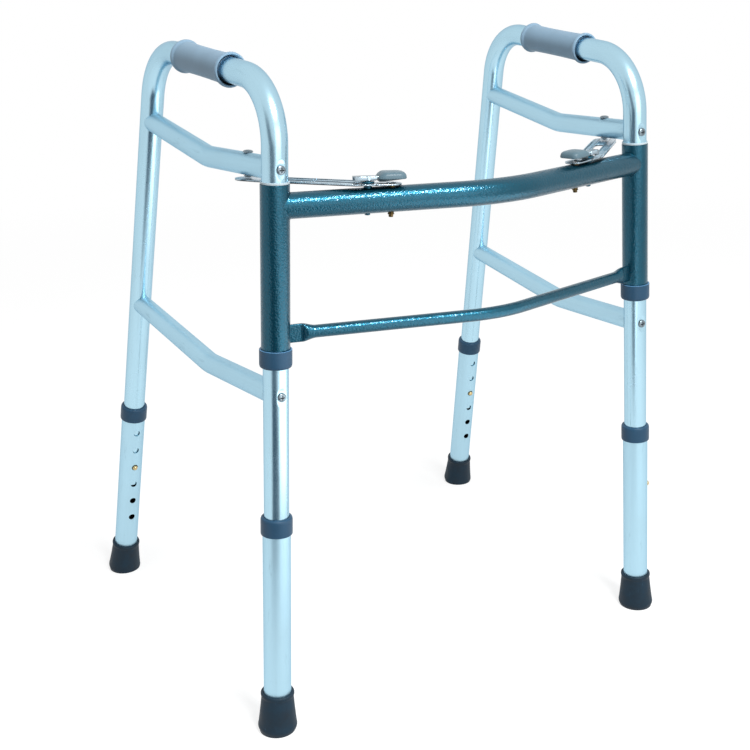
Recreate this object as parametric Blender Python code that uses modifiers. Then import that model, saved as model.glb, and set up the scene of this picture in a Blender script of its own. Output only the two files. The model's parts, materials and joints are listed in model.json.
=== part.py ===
"""Folding walker: two side frames hinged to a bowed front frame, with paddle latches.

Units are metres, +Z is up and the front of the walker faces -Y. Each side frame
is drawn in its own coordinates: +Z runs up the leaning front leg, +Y runs to the
rear along the side frame and +X points inboard. The right side is the mirror image.
"""

import math

import bmesh
import bpy
from mathutils import Matrix, Vector

MM = 0.001
INCH = 0.0254

# running gap between pieces that touch on the real walker
GAP = 0.3 * MM
OVER = 2 * MM

# stance
LEAN = math.radians(2.5)
SPLAY = math.radians(3.0)
FLOOR_HALF = 244.9 * MM
FRONT_LEG_Y = -194.7 * MM

# tube sizes
UPPER_R = INCH / 2
UPPER_WALL = 1.5 * MM
LOWER_WALL = 1.25 * MM
SLIDING_CLEAR = 0.3375 * MM
LOWER_R = UPPER_R + SLIDING_CLEAR + LOWER_WALL
BRACE_R = 0.875 * INCH / 2
BRACE_WALL = 1.4 * MM
SLEEVE_R = LOWER_R
SLEEVE_WALL = 1.2 * MM
BAR_R = UPPER_R
BAR_WALL = 1.6 * MM
LOW_BAR_R = 0.5 * INCH / 2

# outline of one side frame, as (to the rear, up)
RAIL_H = 666.0 * MM
RAIL_RISE = 0.083
REAR_FOOT = 435.0 * MM
REAR_RAKE = 0.23
BEND_R = 63.0 * MM
UPPER_BRACE_H = RAIL_H - 78.8 * MM
UPPER_BRACE_BEND = (145.0 * MM, UPPER_BRACE_H - 4.1 * MM)
UPPER_BRACE_REAR_H = UPPER_BRACE_H + 19.8 * MM
LOWER_BRACE_H = 366.5 * MM
LOWER_BRACE_BEND = (150.0 * MM, LOWER_BRACE_H - 7.0 * MM)
LOWER_BRACE_REAR_H = LOWER_BRACE_H + 18.0 * MM
BRACE_BEND_R = 80.0 * MM

# legs: distances up each leg from the floor
HOLE_PITCH = INCH
HOLES_ABOVE = 2
HOLES_BELOW = 3
FRONT_BUTTON = 160.0 * MM
REAR_BUTTON = 166.3 * MM
FRONT_COLLAR_TOP = 239.0 * MM
REAR_COLLAR_TOP = 252.0 * MM
TUBE_BELOW_BUTTON = 27.0 * MM
LEG_END = 9.0 * MM
FRONT_BUTTON_FACES = {-1: math.radians(90.0), 1: math.radians(194.0)}

# collars, shared by the leg extensions and the sleeves
COLLAR_R = LOWER_R + 1.9 * MM
COLLAR_HEIGHT = 18.5 * MM
COLLAR_LIP = 1.7 * MM

# rubber tips
TIP_HEIGHT = 43.5 * MM
TIP_SOLE_R = LOWER_R + 6.4 * MM
TIP_NECK_R = LOWER_R + 2.6 * MM
TIP_LIP_R = TIP_NECK_R + 0.6 * MM

# snap buttons
BUTTON_R = 3.2 * MM
HOLE_R = BUTTON_R + 0.5 * MM
BUTTON_PROUD = 3.2 * MM
BUTTON_FLANGE = 1.6 * MM
BUTTON_FLANGE_R = BUTTON_R + 0.8 * MM
CLIP_WIDTH = 7.0 * MM
CLIP_THICKNESS = 0.7 * MM

# grips
GRIP_FROM = 88.5 * MM
GRIP_TO = 198.5 * MM
GRIP_R = UPPER_R + 2.3 * MM
GRIP_FLANGE_R = GRIP_R + 2.6 * MM

# front frame
SLEEVE_TOP = UPPER_BRACE_H - 14.2 * MM
SLEEVE_BOTTOM = LOWER_BRACE_H + 30.0 * MM
BAR_H = SLEEVE_TOP - 22.0 * MM
LOW_BAR_H = SLEEVE_BOTTOM + 29.5 * MM
BOW = math.radians(15.5)
BOW_STRAIGHT = 45.0 * MM
LOW_BOW = math.radians(14.0)
LOW_BOW_STRAIGHT = 32.0 * MM
FLAT_LENGTH = 24.0 * MM
FLAT_HALF_HEIGHT = 9.2 * MM
FLAT_HALF_THICKNESS = 1.8 * MM

# latch: distances along the crossbar are taken from the leg's axis
BOLT_BACK = 54.7 * MM
PIN_ALONG = 89.6 * MM
PLUNGER_ALONG = 113.0 * MM
BAR_TURN = -(BOW + SPLAY)
LINK_BOTTOM = SLEEVE_TOP - 2.8 * MM
LINK_THICKNESS = 1.6 * MM
LINK_RIM = 0.8 * MM
LINK_FRONT = -15.0 * MM
LINK_REAR = 13.0 * MM
LINK_TRAVEL = 79.3 * MM
PIN_R = 4.0 * MM
SLOT_CLEAR = 0.4 * MM
PIN_HEAD_R = 6.5 * MM
PIN_HEAD = 1.6 * MM
PLUNGER_R = 4.2 * MM
PLUNGER_DROP = 2.6 * MM
PLUNGER_FLANGE = 8.4 * MM
LEVER_PIVOT_H = LINK_BOTTOM + LINK_THICKNESS + 4.8 * MM
LEVER_TOP = LEVER_PIVOT_H + 4.0 * MM
LEVER_SKIN = 1.2 * MM
LEVER_HALF = 4.9 * MM
LEVER_TIP = 8.0 * MM
PADDLE_RIM = LEVER_TOP - 3.4 * MM
PADDLE_TOP = LEVER_TOP + 2.0 * MM
PADDLE_FROM = 98.0 * MM
PADDLE_TO = 128.0 * MM
PADDLE_HALF = 12.0 * MM
PADDLE_WALL = 2.3 * MM
PADDLE_ROUNDING = 3.4 * MM
TAIL_FROM = 74.0 * MM

# screws and bolts of the side braces
SCREW_R = 2.5 * MM
SCREW_HEAD_R = 4.5 * MM
SCREW_HEAD = 2.4 * MM
SCREW_SEAT = 0.9 * MM
SCREW_REACH = 24.0 * MM
PLUG_LENGTH = 18.0 * MM
BOLT_R = 3.2 * MM
BOLT_HEAD_R = 5.0 * MM
BOLT_HEAD = 2.6 * MM

# facets round a circle
ROUND = 16
BORE_ROUND = 12
SMALL_ROUND = 12
LEAST_ROUND = ROUND // 2

MATERIALS = {
    "aluminium": ((0.74, 0.79, 0.82), 0.34, 1.0),
    "paint": ((0.026, 0.115, 0.17), 0.38, 0.35),
    "vinyl": ((0.21, 0.29, 0.38), 0.55, 0.0),
    "collar": ((0.075, 0.13, 0.2), 0.5, 0.0),
    "rubber": ((0.02, 0.045, 0.08), 0.8, 0.0),
    "zinc": ((0.6, 0.63, 0.66), 0.32, 1.0),
    "gold_zinc": ((0.72, 0.55, 0.22), 0.3, 1.0),
    "brass": ((0.68, 0.5, 0.22), 0.3, 1.0),
    "spring_steel": ((0.35, 0.36, 0.38), 0.35, 1.0),
    "paddle_plastic": ((0.17, 0.24, 0.27), 0.45, 0.0),
    "washer_nylon": ((0.7, 0.76, 0.78), 0.5, 0.0),
}


def clear_scene():
    for obj in list(bpy.data.objects):
        bpy.data.objects.remove(obj, do_unlink=True)


def new_collection(name):
    collection = bpy.data.collections.new(name)
    bpy.context.scene.collection.children.link(collection)
    return collection


def make_material(name):
    colour, roughness, metallic = MATERIALS[name]
    material = bpy.data.materials.new(name)
    material.use_nodes = True
    shader = material.node_tree.nodes["Principled BSDF"]
    shader.inputs["Base Color"].default_value = (*colour, 1.0)
    shader.inputs["Roughness"].default_value = roughness
    shader.inputs["Metallic"].default_value = metallic
    material.diffuse_color = (*colour, 1.0)
    return material


def evaluated_mesh(obj):
    """The object's mesh with its modifiers applied, and the object removed."""
    bpy.context.view_layer.update()
    graph = bpy.context.evaluated_depsgraph_get()
    mesh = bpy.data.meshes.new_from_object(obj.evaluated_get(graph))
    bpy.data.objects.remove(obj, do_unlink=True)
    return mesh


def as_object(mesh, name="work"):
    obj = bpy.data.objects.new(name, mesh)
    bpy.context.scene.collection.objects.link(obj)
    return obj


def mesh_from(bm):
    bmesh.ops.recalc_face_normals(bm, faces=bm.faces)
    mesh = bpy.data.meshes.new("shape")
    bm.to_mesh(mesh)
    bm.free()
    return mesh


def combine(mesh, others, operation):
    """One mesh after exact Boolean steps with each of the others in turn."""
    obj = as_object(mesh)
    tools = []
    for other in others:
        tool = as_object(other, "tool")
        modifier = obj.modifiers.new("step", "BOOLEAN")
        modifier.operation = operation
        modifier.solver = "EXACT"
        modifier.object = tool
        tools.append(tool)
    result = evaluated_mesh(obj)
    for tool in tools:
        bpy.data.objects.remove(tool, do_unlink=True)
    return result


def cut(mesh, cutters):
    return combine(mesh, cutters, "DIFFERENCE")


def join(mesh, others):
    return combine(mesh, others, "UNION")


def aimed(point, direction):
    """A matrix that stands an upright shape at the point, along the direction."""
    turn = Vector(direction).to_track_quat("Z", "Y").to_matrix().to_4x4()
    return Matrix.Translation(point) @ turn


def cylinder(start, end, radius, segments=SMALL_ROUND):
    start = Vector(start)
    end = Vector(end)
    flats = Matrix.Rotation(math.pi / segments, 4, "Z")
    bm = bmesh.new()
    bmesh.ops.create_cone(
        bm,
        cap_ends=True,
        segments=segments,
        radius1=radius,
        radius2=radius,
        depth=(end - start).length,
        matrix=aimed((start + end) / 2, end - start) @ flats,
    )
    return mesh_from(bm)


def block(low, high, matrix=None):
    low = Vector(low)
    high = Vector(high)
    bm = bmesh.new()
    size = high - low
    placed = Matrix.Translation((low + high) / 2) @ Matrix.Diagonal((*size, 1.0))
    if matrix is not None:
        placed = matrix @ placed
    bmesh.ops.create_cube(bm, size=1.0, matrix=placed)
    return mesh_from(bm)


def lathe(profile, segments=ROUND):
    """Turns a loop of (radius, height) points, down the outside first, about Z."""
    bm = bmesh.new()
    verts = [bm.verts.new((radius, 0.0, height)) for radius, height in profile]
    for first, second in zip(verts, verts[1:] + verts[:1]):
        if first.co.x > 0.0 or second.co.x > 0.0:
            bm.edges.new((first, second))
    mesh = bpy.data.meshes.new("profile")
    bm.to_mesh(mesh)
    bm.free()
    obj = as_object(mesh)
    screw = obj.modifiers.new("turn", "SCREW")
    screw.steps = segments
    screw.render_steps = segments
    screw.use_merge_vertices = True
    screw.merge_threshold = 0.00005
    turned = evaluated_mesh(obj)
    bm = bmesh.new()
    bm.from_mesh(turned)
    bmesh.ops.remove_doubles(bm, verts=bm.verts, dist=0.00001)
    return mesh_from(bm)


def moved(mesh, matrix):
    copy = mesh.copy()
    copy.transform(matrix)
    return copy


def mirrored(mesh):
    """The mesh seen in the plane X = 0, for the right side of the walker."""
    bm = bmesh.new()
    bm.from_mesh(mesh)
    bmesh.ops.scale(bm, vec=(-1.0, 1.0, 1.0), verts=bm.verts)
    bmesh.ops.reverse_faces(bm, faces=bm.faces)
    return mesh_from(bm)


def rounded_path(corners, radius, steps):
    """Points along straight runs, with each inner corner rounded to the radius."""
    corners = [Vector(corner) for corner in corners]
    points = [corners[0]]
    for before, corner, after in zip(corners, corners[1:], corners[2:]):
        back = (before - corner).normalized()
        ahead = (after - corner).normalized()
        half = back.angle(ahead) / 2
        reach = radius / math.tan(half)
        centre = corner + (back + ahead).normalized() * radius / math.sin(half)
        first = corner + back * reach - centre
        last = corner + ahead * reach - centre
        axis = first.cross(last).normalized()
        sweep = first.angle(last)
        for step in range(steps + 1):
            turn = Matrix.Rotation(sweep * step / steps, 3, axis)
            points.append(centre + turn @ first)
    points.append(corners[-1])
    return points


def curve_mesh(curve):
    """The curve's welded mesh; the curve itself is removed."""
    obj = bpy.data.objects.new("curve", curve)
    bpy.context.scene.collection.objects.link(obj)
    mesh = evaluated_mesh(obj)
    bpy.data.curves.remove(curve)
    bm = bmesh.new()
    bm.from_mesh(mesh)
    bmesh.ops.remove_doubles(bm, verts=bm.verts, dist=0.00001)
    return mesh_from(bm)


def rod(points, radius, segments=ROUND):
    """A round bar along the points, from a bevelled curve."""
    curve = bpy.data.curves.new("path", "CURVE")
    curve.dimensions = "3D"
    curve.bevel_depth = radius
    curve.bevel_resolution = segments // 2 - 2
    curve.use_fill_caps = True
    spline = curve.splines.new("POLY")
    spline.points.add(len(points) - 1)
    for target, point in zip(spline.points, points):
        target.co = (*point, 1.0)
    return curve_mesh(curve)


def pipe(points, radius, wall, plug=-OVER, segments=ROUND):
    """A tube along the points, open at the far end and, with no plug, at the near one."""
    first = points[0] + (points[1] - points[0]).normalized() * plug
    last = points[-1] + (points[-1] - points[-2]).normalized() * OVER
    bore = rod([first, *points[1:-1], last], radius - wall, BORE_ROUND)
    return cut(rod(points, radius, segments), [bore])


def ring(inner, outer, bottom, top, segments=ROUND):
    return lathe(
        [(outer, top), (outer, bottom), (inner, bottom), (inner, top)], segments
    )


def plate(outline, bottom, top):
    """A flat plate between two heights, filled inside the outline's corners."""
    curve = bpy.data.curves.new("outline", "CURVE")
    curve.dimensions = "2D"
    curve.fill_mode = "BOTH"
    curve.extrude = (top - bottom) / 2
    spline = curve.splines.new("POLY")
    spline.points.add(len(outline) - 1)
    for target, (x, y) in zip(spline.points, outline):
        target.co = (x, y, 0.0, 1.0)
    spline.use_cyclic_u = True
    mesh = curve_mesh(curve)
    mesh.transform(Matrix.Translation((0.0, 0.0, (top + bottom) / 2)))
    return mesh


def arc(centre, radius, start, end, steps):
    """Points on a circle between two angles in degrees."""
    points = []
    for step in range(steps + 1):
        angle = math.radians(start + (end - start) * step / steps)
        points.append(
            (centre[0] + radius * math.cos(angle), centre[1] + radius * math.sin(angle))
        )
    return points


# Side frame coordinates


def side_matrix(side):
    """From one side frame's coordinates to the world; side is -1 left, +1 right."""
    place = Matrix.Translation((side * FLOOR_HALF, FRONT_LEG_Y, 0.0))
    splay = Matrix.Rotation(-side * SPLAY, 4, "Z")
    lean = Matrix.Rotation(-side * LEAN, 4, "Y")
    return place @ splay @ lean


def frame_point(back, up):
    return Vector((0.0, back, up))


def rail_height(back):
    return RAIL_H + RAIL_RISE * back


def rear_leg_matrix():
    """Stands Z up the rear leg from its foot, with -Y to the front of the walker."""
    turn = Matrix.Rotation(math.atan(REAR_RAKE), 4, "X")
    return Matrix.Translation(frame_point(REAR_FOOT, 0.0)) @ turn


def rear_leg_back(up):
    return REAR_FOOT - REAR_RAKE * up


def rail_matrix():
    """Lays Z along the handle rail, to the rear, from the point above the leg."""
    turn = Matrix.Rotation(math.atan(RAIL_RISE) - math.pi / 2, 4, "X")
    return Matrix.Translation(frame_point(0.0, RAIL_H)) @ turn


def button_turn(leg, side):
    """Turns -Y of a leg to the way its snap button faces."""
    if leg == "rear":
        return Matrix.Identity(4)
    return Matrix.Rotation(FRONT_BUTTON_FACES[side] - 1.5 * math.pi, 4, "Z")


def leg_matrix(leg):
    return rear_leg_matrix() if leg == "rear" else Matrix.Identity(4)


def button_height(leg):
    return REAR_BUTTON if leg == "rear" else FRONT_BUTTON


def collar_top(leg):
    return REAR_COLLAR_TOP if leg == "rear" else FRONT_COLLAR_TOP


# Side frame parts


def screw_heights():
    return (UPPER_BRACE_H, LOWER_BRACE_H)


def side_tube(side):
    """The bent tube of one side: front leg, handle rail and raked rear leg."""
    corner = (REAR_FOOT - REAR_RAKE * RAIL_H) / (1.0 + REAR_RAKE * RAIL_RISE)
    front_end = FRONT_BUTTON - TUBE_BELOW_BUTTON
    rear_end = rear_leg_matrix() @ Vector((0.0, 0.0, REAR_BUTTON - TUBE_BELOW_BUTTON))
    corners = [
        frame_point(0.0, front_end),
        frame_point(0.0, RAIL_H),
        frame_point(corner, rail_height(corner)),
        rear_end,
    ]
    tube = pipe(rounded_path(corners, BEND_R, 5), UPPER_R, UPPER_WALL)
    return cut(tube, leg_holes(side) + screw_seats())


def leg_holes(side):
    """Cutters for the snap button holes in the two upper legs."""
    cutters = []
    for leg in ("front", "rear"):
        matrix = leg_matrix(leg) @ button_turn(leg, side)
        height = button_height(leg)
        start = matrix @ Vector((0.0, -UPPER_R - OVER, height))
        end = matrix @ Vector((0.0, 0.0, height))
        cutters.append(cylinder(start, end, HOLE_R - GAP / 2, LEAST_ROUND))
    return cutters


def screw_seats():
    """Cutters for each brace screw: its hole through the leg and the seat of its head."""
    cutters = []
    for height in screw_heights():
        cutters.append(
            cylinder(
                frame_point(-UPPER_R - OVER, height),
                frame_point(UPPER_R + OVER, height),
                SCREW_R + GAP,
                LEAST_ROUND,
            )
        )
        cutters.append(
            cylinder(
                frame_point(-UPPER_R - OVER, height),
                frame_point(-UPPER_R + SCREW_SEAT, height),
                SCREW_HEAD_R + 4 * GAP,
                SMALL_ROUND,
            )
        )
    return cutters


def brace(front_height, bend, rear_height):
    """A side brace from the front leg to the rear leg, coped to both."""
    corners = [
        frame_point(0.0, front_height),
        frame_point(*bend),
        frame_point(rear_leg_back(rear_height), rear_height),
    ]
    points = rounded_path(corners, BRACE_BEND_R, 3)
    tube = pipe(points, BRACE_R, BRACE_WALL, UPPER_R + PLUG_LENGTH)
    foot = rear_leg_matrix()
    cutters = [
        cylinder(
            frame_point(0.0, front_height - 2 * BRACE_R),
            frame_point(0.0, front_height + 2 * BRACE_R),
            UPPER_R + GAP,
            ROUND,
        ),
        cylinder(
            foot @ Vector((0.0, 0.0, rear_height - 3 * BRACE_R)),
            foot @ Vector((0.0, 0.0, rear_height + 4 * BRACE_R)),
            UPPER_R + GAP,
            ROUND,
        ),
        cylinder(
            frame_point(0.0, front_height),
            frame_point(SCREW_REACH + GAP, front_height),
            SCREW_R + GAP,
            LEAST_ROUND,
        ),
    ]
    return cut(tube, cutters)


def upper_brace():
    tube = brace(UPPER_BRACE_H, UPPER_BRACE_BEND, UPPER_BRACE_REAR_H)
    hole = cylinder(
        frame_point(BOLT_BACK, UPPER_BRACE_H - 2 * BRACE_R),
        frame_point(BOLT_BACK, UPPER_BRACE_H + 2 * BRACE_R),
        BOLT_R + GAP,
    )
    return cut(tube, [hole])


def lower_brace():
    return brace(LOWER_BRACE_H, LOWER_BRACE_BEND, LOWER_BRACE_REAR_H)


def brace_top_at(back):
    slope = (UPPER_BRACE_BEND[1] - UPPER_BRACE_H) / UPPER_BRACE_BEND[0]
    return UPPER_BRACE_H + slope * back + BRACE_R


def link_top():
    return LINK_BOTTOM + LINK_THICKNESS


def brace_bolt():
    """The link's pivot bolt, down through the upper brace."""
    seat = brace_top_at(BOLT_BACK) + GAP + 0.1 * MM
    low = link_top() + LINK_RIM + 0.4 * MM
    profile = [
        (0.0, seat + BOLT_HEAD),
        (BOLT_HEAD_R * 0.6, seat + BOLT_HEAD * 0.9),
        (BOLT_HEAD_R * 0.92, seat + BOLT_HEAD * 0.5),
        (BOLT_HEAD_R, seat),
        (BOLT_R, seat),
        (BOLT_R, low),
        (0.0, low),
    ]
    return moved(lathe(profile, SMALL_ROUND), Matrix.Translation((0.0, BOLT_BACK, 0.0)))


def brace_screw(height):
    """A cross-head screw through the front leg into the end of a brace."""
    seat = UPPER_R - SCREW_SEAT + 0.1 * MM
    profile = [
        (0.0, seat + SCREW_HEAD),
        (SCREW_HEAD_R * 0.55, seat + SCREW_HEAD * 0.92),
        (SCREW_HEAD_R * 0.9, seat + SCREW_HEAD * 0.55),
        (SCREW_HEAD_R, seat),
        (SCREW_R, seat),
        (SCREW_R, -SCREW_REACH),
        (0.0, -SCREW_REACH),
    ]
    screw = lathe(profile, SMALL_ROUND)
    reach = SCREW_HEAD_R * 0.55
    width = 0.55 * MM
    depth = seat + SCREW_HEAD - 1.3 * MM
    top = seat + SCREW_HEAD + OVER
    slots = [
        block((-reach, -width, depth), (reach, width, top)),
        block((-width, -reach, depth), (width, reach, top)),
    ]
    screw = cut(screw, [join(slots[0], [slots[1]])])
    return moved(screw, aimed(frame_point(0.0, height), (0.0, -1.0, 0.0)))


def grip():
    """The vinyl hand grip, waisted, with a rolled flange at each end."""
    scale = math.hypot(1.0, RAIL_RISE)
    start = GRIP_FROM * scale
    end = GRIP_TO * scale
    bore = UPPER_R + GAP
    flange = 4.0 * MM
    length = end - start
    profile = [
        (bore, end),
        (GRIP_FLANGE_R - 1.2 * MM, end),
        (GRIP_FLANGE_R, end - 1.5 * MM),
        (GRIP_FLANGE_R, end - flange),
        (GRIP_R + 0.5 * MM, end - flange - MM),
        (GRIP_R, start + length * 0.5),
        (GRIP_R + 0.5 * MM, start + flange + MM),
        (GRIP_FLANGE_R, start + flange),
        (GRIP_FLANGE_R, start + 1.5 * MM),
        (GRIP_FLANGE_R - 1.2 * MM, start),
        (bore, start),
    ]
    return moved(lathe(profile), rail_matrix())


def collar(inner, neck):
    """A cap collar: a wall round the wider tube and a lip over its end."""
    return lathe(
        [
            (COLLAR_R - 1.2 * MM, 0.0),
            (COLLAR_R, -1.3 * MM),
            (COLLAR_R, -COLLAR_HEIGHT),
            (inner, -COLLAR_HEIGHT),
            (inner, -COLLAR_LIP),
            (neck, -COLLAR_LIP),
            (neck, 0.0),
        ]
    )


def leg_collar():
    return collar(LOWER_R + GAP, UPPER_R + GAP)


def sleeve_bushing():
    """The same collar turned over, pressed on the leg to carry the sleeve."""
    flipped = moved(leg_collar(), Matrix.Rotation(math.pi, 4, "X"))
    base = SLEEVE_BOTTOM - GAP - COLLAR_LIP
    return moved(flipped, Matrix.Translation((0.0, 0.0, base)))


def leg_extension(leg, side):
    """An outer leg tube with its six adjusting holes."""
    top = collar_top(leg) - COLLAR_LIP - GAP
    tube = ring(LOWER_R - LOWER_WALL, LOWER_R, LEG_END, top)
    turn = button_turn(leg, side)
    cutters = []
    for step in range(-HOLES_BELOW, HOLES_ABOVE + 1):
        height = button_height(leg) + step * HOLE_PITCH
        start = turn @ Vector((0.0, -LOWER_R - OVER, height))
        end = turn @ Vector((0.0, 0.0, height))
        cutters.append(cylinder(start, end, HOLE_R, LEAST_ROUND))
    return cut(tube, cutters)


def foot_tip(matrix):
    """A flared rubber tip; its sole is cut level with the floor."""
    bore = LOWER_R + GAP
    profile = [
        (TIP_LIP_R - 0.7 * MM, TIP_HEIGHT),
        (TIP_LIP_R, TIP_HEIGHT - 1.2 * MM),
        (TIP_LIP_R, TIP_HEIGHT - 3.6 * MM),
        (TIP_NECK_R, TIP_HEIGHT - 4.6 * MM),
        (TIP_NECK_R + 0.8 * MM, 28.0 * MM),
        (TIP_SOLE_R, 7.0 * MM),
        (TIP_SOLE_R, -7.0 * MM),
        (0.0, -7.0 * MM),
        (0.0, LEG_END - GAP),
        (bore, LEG_END - GAP),
        (bore, TIP_HEIGHT),
    ]
    tip = lathe(profile)
    wide = 3 * FLOOR_HALF
    below = block((-wide, -wide, -wide), (wide, wide, 0.0), matrix.inverted())
    return cut(tip, [below])


def button_seat():
    """How far from the leg's axis the outer face of a button's flange stands."""
    return (UPPER_R - UPPER_WALL) * math.cos(math.pi / BORE_ROUND) - GAP


def snap_button(leg, side):
    """The domed button, through both tubes, with its flange inside the inner one."""
    seat = button_seat()
    tip = LOWER_R + BUTTON_PROUD
    profile = [
        (0.0, tip),
        (BUTTON_R * 0.5, tip - 0.5 * MM),
        (BUTTON_R * 0.87, tip - 1.5 * MM),
        (BUTTON_R, tip - 3.0 * MM),
        (BUTTON_R, seat),
        (BUTTON_FLANGE_R, seat - BUTTON_FLANGE / 2),
        (BUTTON_FLANGE_R, seat - BUTTON_FLANGE),
        (0.0, seat - BUTTON_FLANGE),
    ]
    button = lathe(profile, 10)
    out = button_turn(leg, side) @ Vector((0.0, -1.0, 0.0))
    return moved(button, aimed((0.0, 0.0, button_height(leg)), out))


def snap_spring(leg, side):
    """The bent strip that holds the button out, against the far wall of the tube."""
    near = BUTTON_FLANGE + GAP + CLIP_THICKNESS / 2 - button_seat()
    far = UPPER_R - UPPER_WALL - 1.6 * MM
    line = [
        (near, -5.0 * MM),
        (near, 5.0 * MM),
        (-1.6 * MM, 36.0 * MM),
        (0.0, 37.5 * MM),
        (1.6 * MM, 36.0 * MM),
        (far - 1.2 * MM, 6.0 * MM),
        (far, -2.0 * MM),
    ]
    bm = bmesh.new()
    half = CLIP_WIDTH / 2
    pairs = []
    for across, up in line:
        pairs.append([bm.verts.new((side, across, up)) for side in (-half, half)])
    for (a, b), (c, d) in zip(pairs, pairs[1:]):
        bm.faces.new((a, b, d, c))
    strip = as_object(mesh_from(bm))
    shell = strip.modifiers.new("thickness", "SOLIDIFY")
    shell.thickness = CLIP_THICKNESS
    shell.offset = 0.0
    shell.use_even_offset = True
    mesh = evaluated_mesh(strip)
    turn = button_turn(leg, side)
    return moved(mesh, Matrix.Translation((0.0, 0.0, button_height(leg))) @ turn)


# Front frame


def leg_axis_x(height):
    """How far a front leg's axis is from the middle of the walker at a height."""
    return FLOOR_HALF - math.tan(LEAN) * math.cos(SPLAY) * height


def leg_axis_y(height):
    return FRONT_LEG_Y + math.tan(LEAN) * math.sin(SPLAY) * height


def bowed_points(height, bow, straight, steps):
    """A bar bowed to the front between the two leg axes, rounded in the middle."""
    end_x = leg_axis_x(height)
    end_y = leg_axis_y(height)
    corner = Vector((0.0, end_y - math.tan(bow) * end_x, height))
    ends = [Vector((side * end_x, end_y, height)) for side in (-1, 1)]
    return rounded_path([ends[0], corner, ends[1]], straight / math.sin(bow), steps)


def sleeve_cutter(side, height):
    matrix = side_matrix(side)
    reach = 4 * SLEEVE_R
    start = matrix @ Vector((0.0, 0.0, height - reach))
    end = matrix @ Vector((0.0, 0.0, height + reach))
    return cylinder(start, end, SLEEVE_R + GAP, ROUND)


def along_bar(distance, height=0.0):
    """A point of a side frame's coordinates on the crossbar's line."""
    return Vector(
        (distance * math.cos(BAR_TURN), distance * math.sin(BAR_TURN), height)
    )


def upright_cutter(side, along, radius):
    """A cutter along a latch pin, square to the side frame's swing."""
    matrix = side_matrix(side)
    if side > 0:
        matrix = matrix @ Matrix.Diagonal((-1.0, 1.0, 1.0, 1.0))
    start = matrix @ along_bar(along, BAR_H - 2 * BAR_R)
    end = matrix @ along_bar(along, BAR_H + 2.5 * BAR_R)
    return cylinder(start, end, radius)


def top_crossbar():
    tube = pipe(bowed_points(BAR_H, BOW, BOW_STRAIGHT, 6), BAR_R, BAR_WALL)
    cutters = []
    for side in (-1, 1):
        cutters.append(sleeve_cutter(side, BAR_H))
        cutters.append(upright_cutter(side, PIN_ALONG, PIN_R + GAP))
        cutters.append(upright_cutter(side, PLUNGER_ALONG, PLUNGER_R + 0.4 * MM))
    return cut(tube, cutters)


def lower_crossbar():
    """The thin bar, its ends pressed flat where they meet the sleeves."""
    points = bowed_points(LOW_BAR_H, LOW_BOW, LOW_BOW_STRAIGHT, 5)
    start = points[0]
    end = points[-1]
    extra = []
    for tip, inner in ((start, points[1]), (end, points[-2])):
        along = (inner - tip).normalized()
        for distance in (FLAT_LENGTH, FLAT_LENGTH + 4 * MM, FLAT_LENGTH + 9 * MM):
            extra.append(tip + along * (distance + SLEEVE_R))
    points = points[:1] + extra[:3] + points[1:-1] + extra[:2:-1] + points[-1:]
    mesh = rod(points, LOW_BAR_R, 12)
    flatten_ends(mesh, start, end)
    return cut(mesh, [sleeve_cutter(side, LOW_BAR_H) for side in (-1, 1)])


def flatten_ends(mesh, start, end):
    """Squeezes the bar's ends into upright tabs."""
    for vertex in mesh.vertices:
        tip = start if vertex.co.x < 0.0 else end
        inward = Vector((-math.copysign(1.0, tip.x), -math.tan(LOW_BOW), 0.0))
        inward.normalize()
        offset = vertex.co - tip
        along = offset.dot(inward)
        amount = (FLAT_LENGTH + SLEEVE_R + 9 * MM - along) / (9 * MM)
        amount = min(max(amount, 0.0), 1.0)
        across = Vector((-inward.y, inward.x, 0.0))
        side = offset.dot(across)
        up = offset.z
        tall = 1.0 + amount * (FLAT_HALF_HEIGHT / LOW_BAR_R - 1.0)
        thin = 1.0 + amount * (FLAT_HALF_THICKNESS / LOW_BAR_R - 1.0)
        vertex.co = tip + inward * along + across * side * thin
        vertex.co.z = tip.z + up * tall


def sleeve():
    return ring(SLEEVE_R - SLEEVE_WALL, SLEEVE_R, SLEEVE_BOTTOM, SLEEVE_TOP)


def sleeve_washer():
    bottom = SLEEVE_TOP + GAP
    top = brace_top_at(UPPER_R) - 2 * BRACE_R - GAP
    return ring(UPPER_R + GAP, SLEEVE_R - 0.3 * MM, bottom, top)


# Latch, in side frame coordinates


def bar_height(along):
    """Height of the crossbar's axis in side frame coordinates, which lean."""
    inboard = along * math.cos(BAR_TURN)
    return (BAR_H + inboard * math.sin(LEAN)) / math.cos(LEAN)


def link_angle():
    pin = along_bar(PIN_ALONG)
    return math.atan2(pin.y - BOLT_BACK, pin.x)


def link_matrix():
    """Lays X along the link from its bolt to the guide pin, at the link's underside."""
    place = Matrix.Translation((0.0, BOLT_BACK, LINK_BOTTOM))
    return place @ Matrix.Rotation(link_angle(), 4, "Z")


def link_point(along):
    point = link_matrix().inverted() @ along_bar(along, LINK_BOTTOM)
    return (point.x, point.y)


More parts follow.
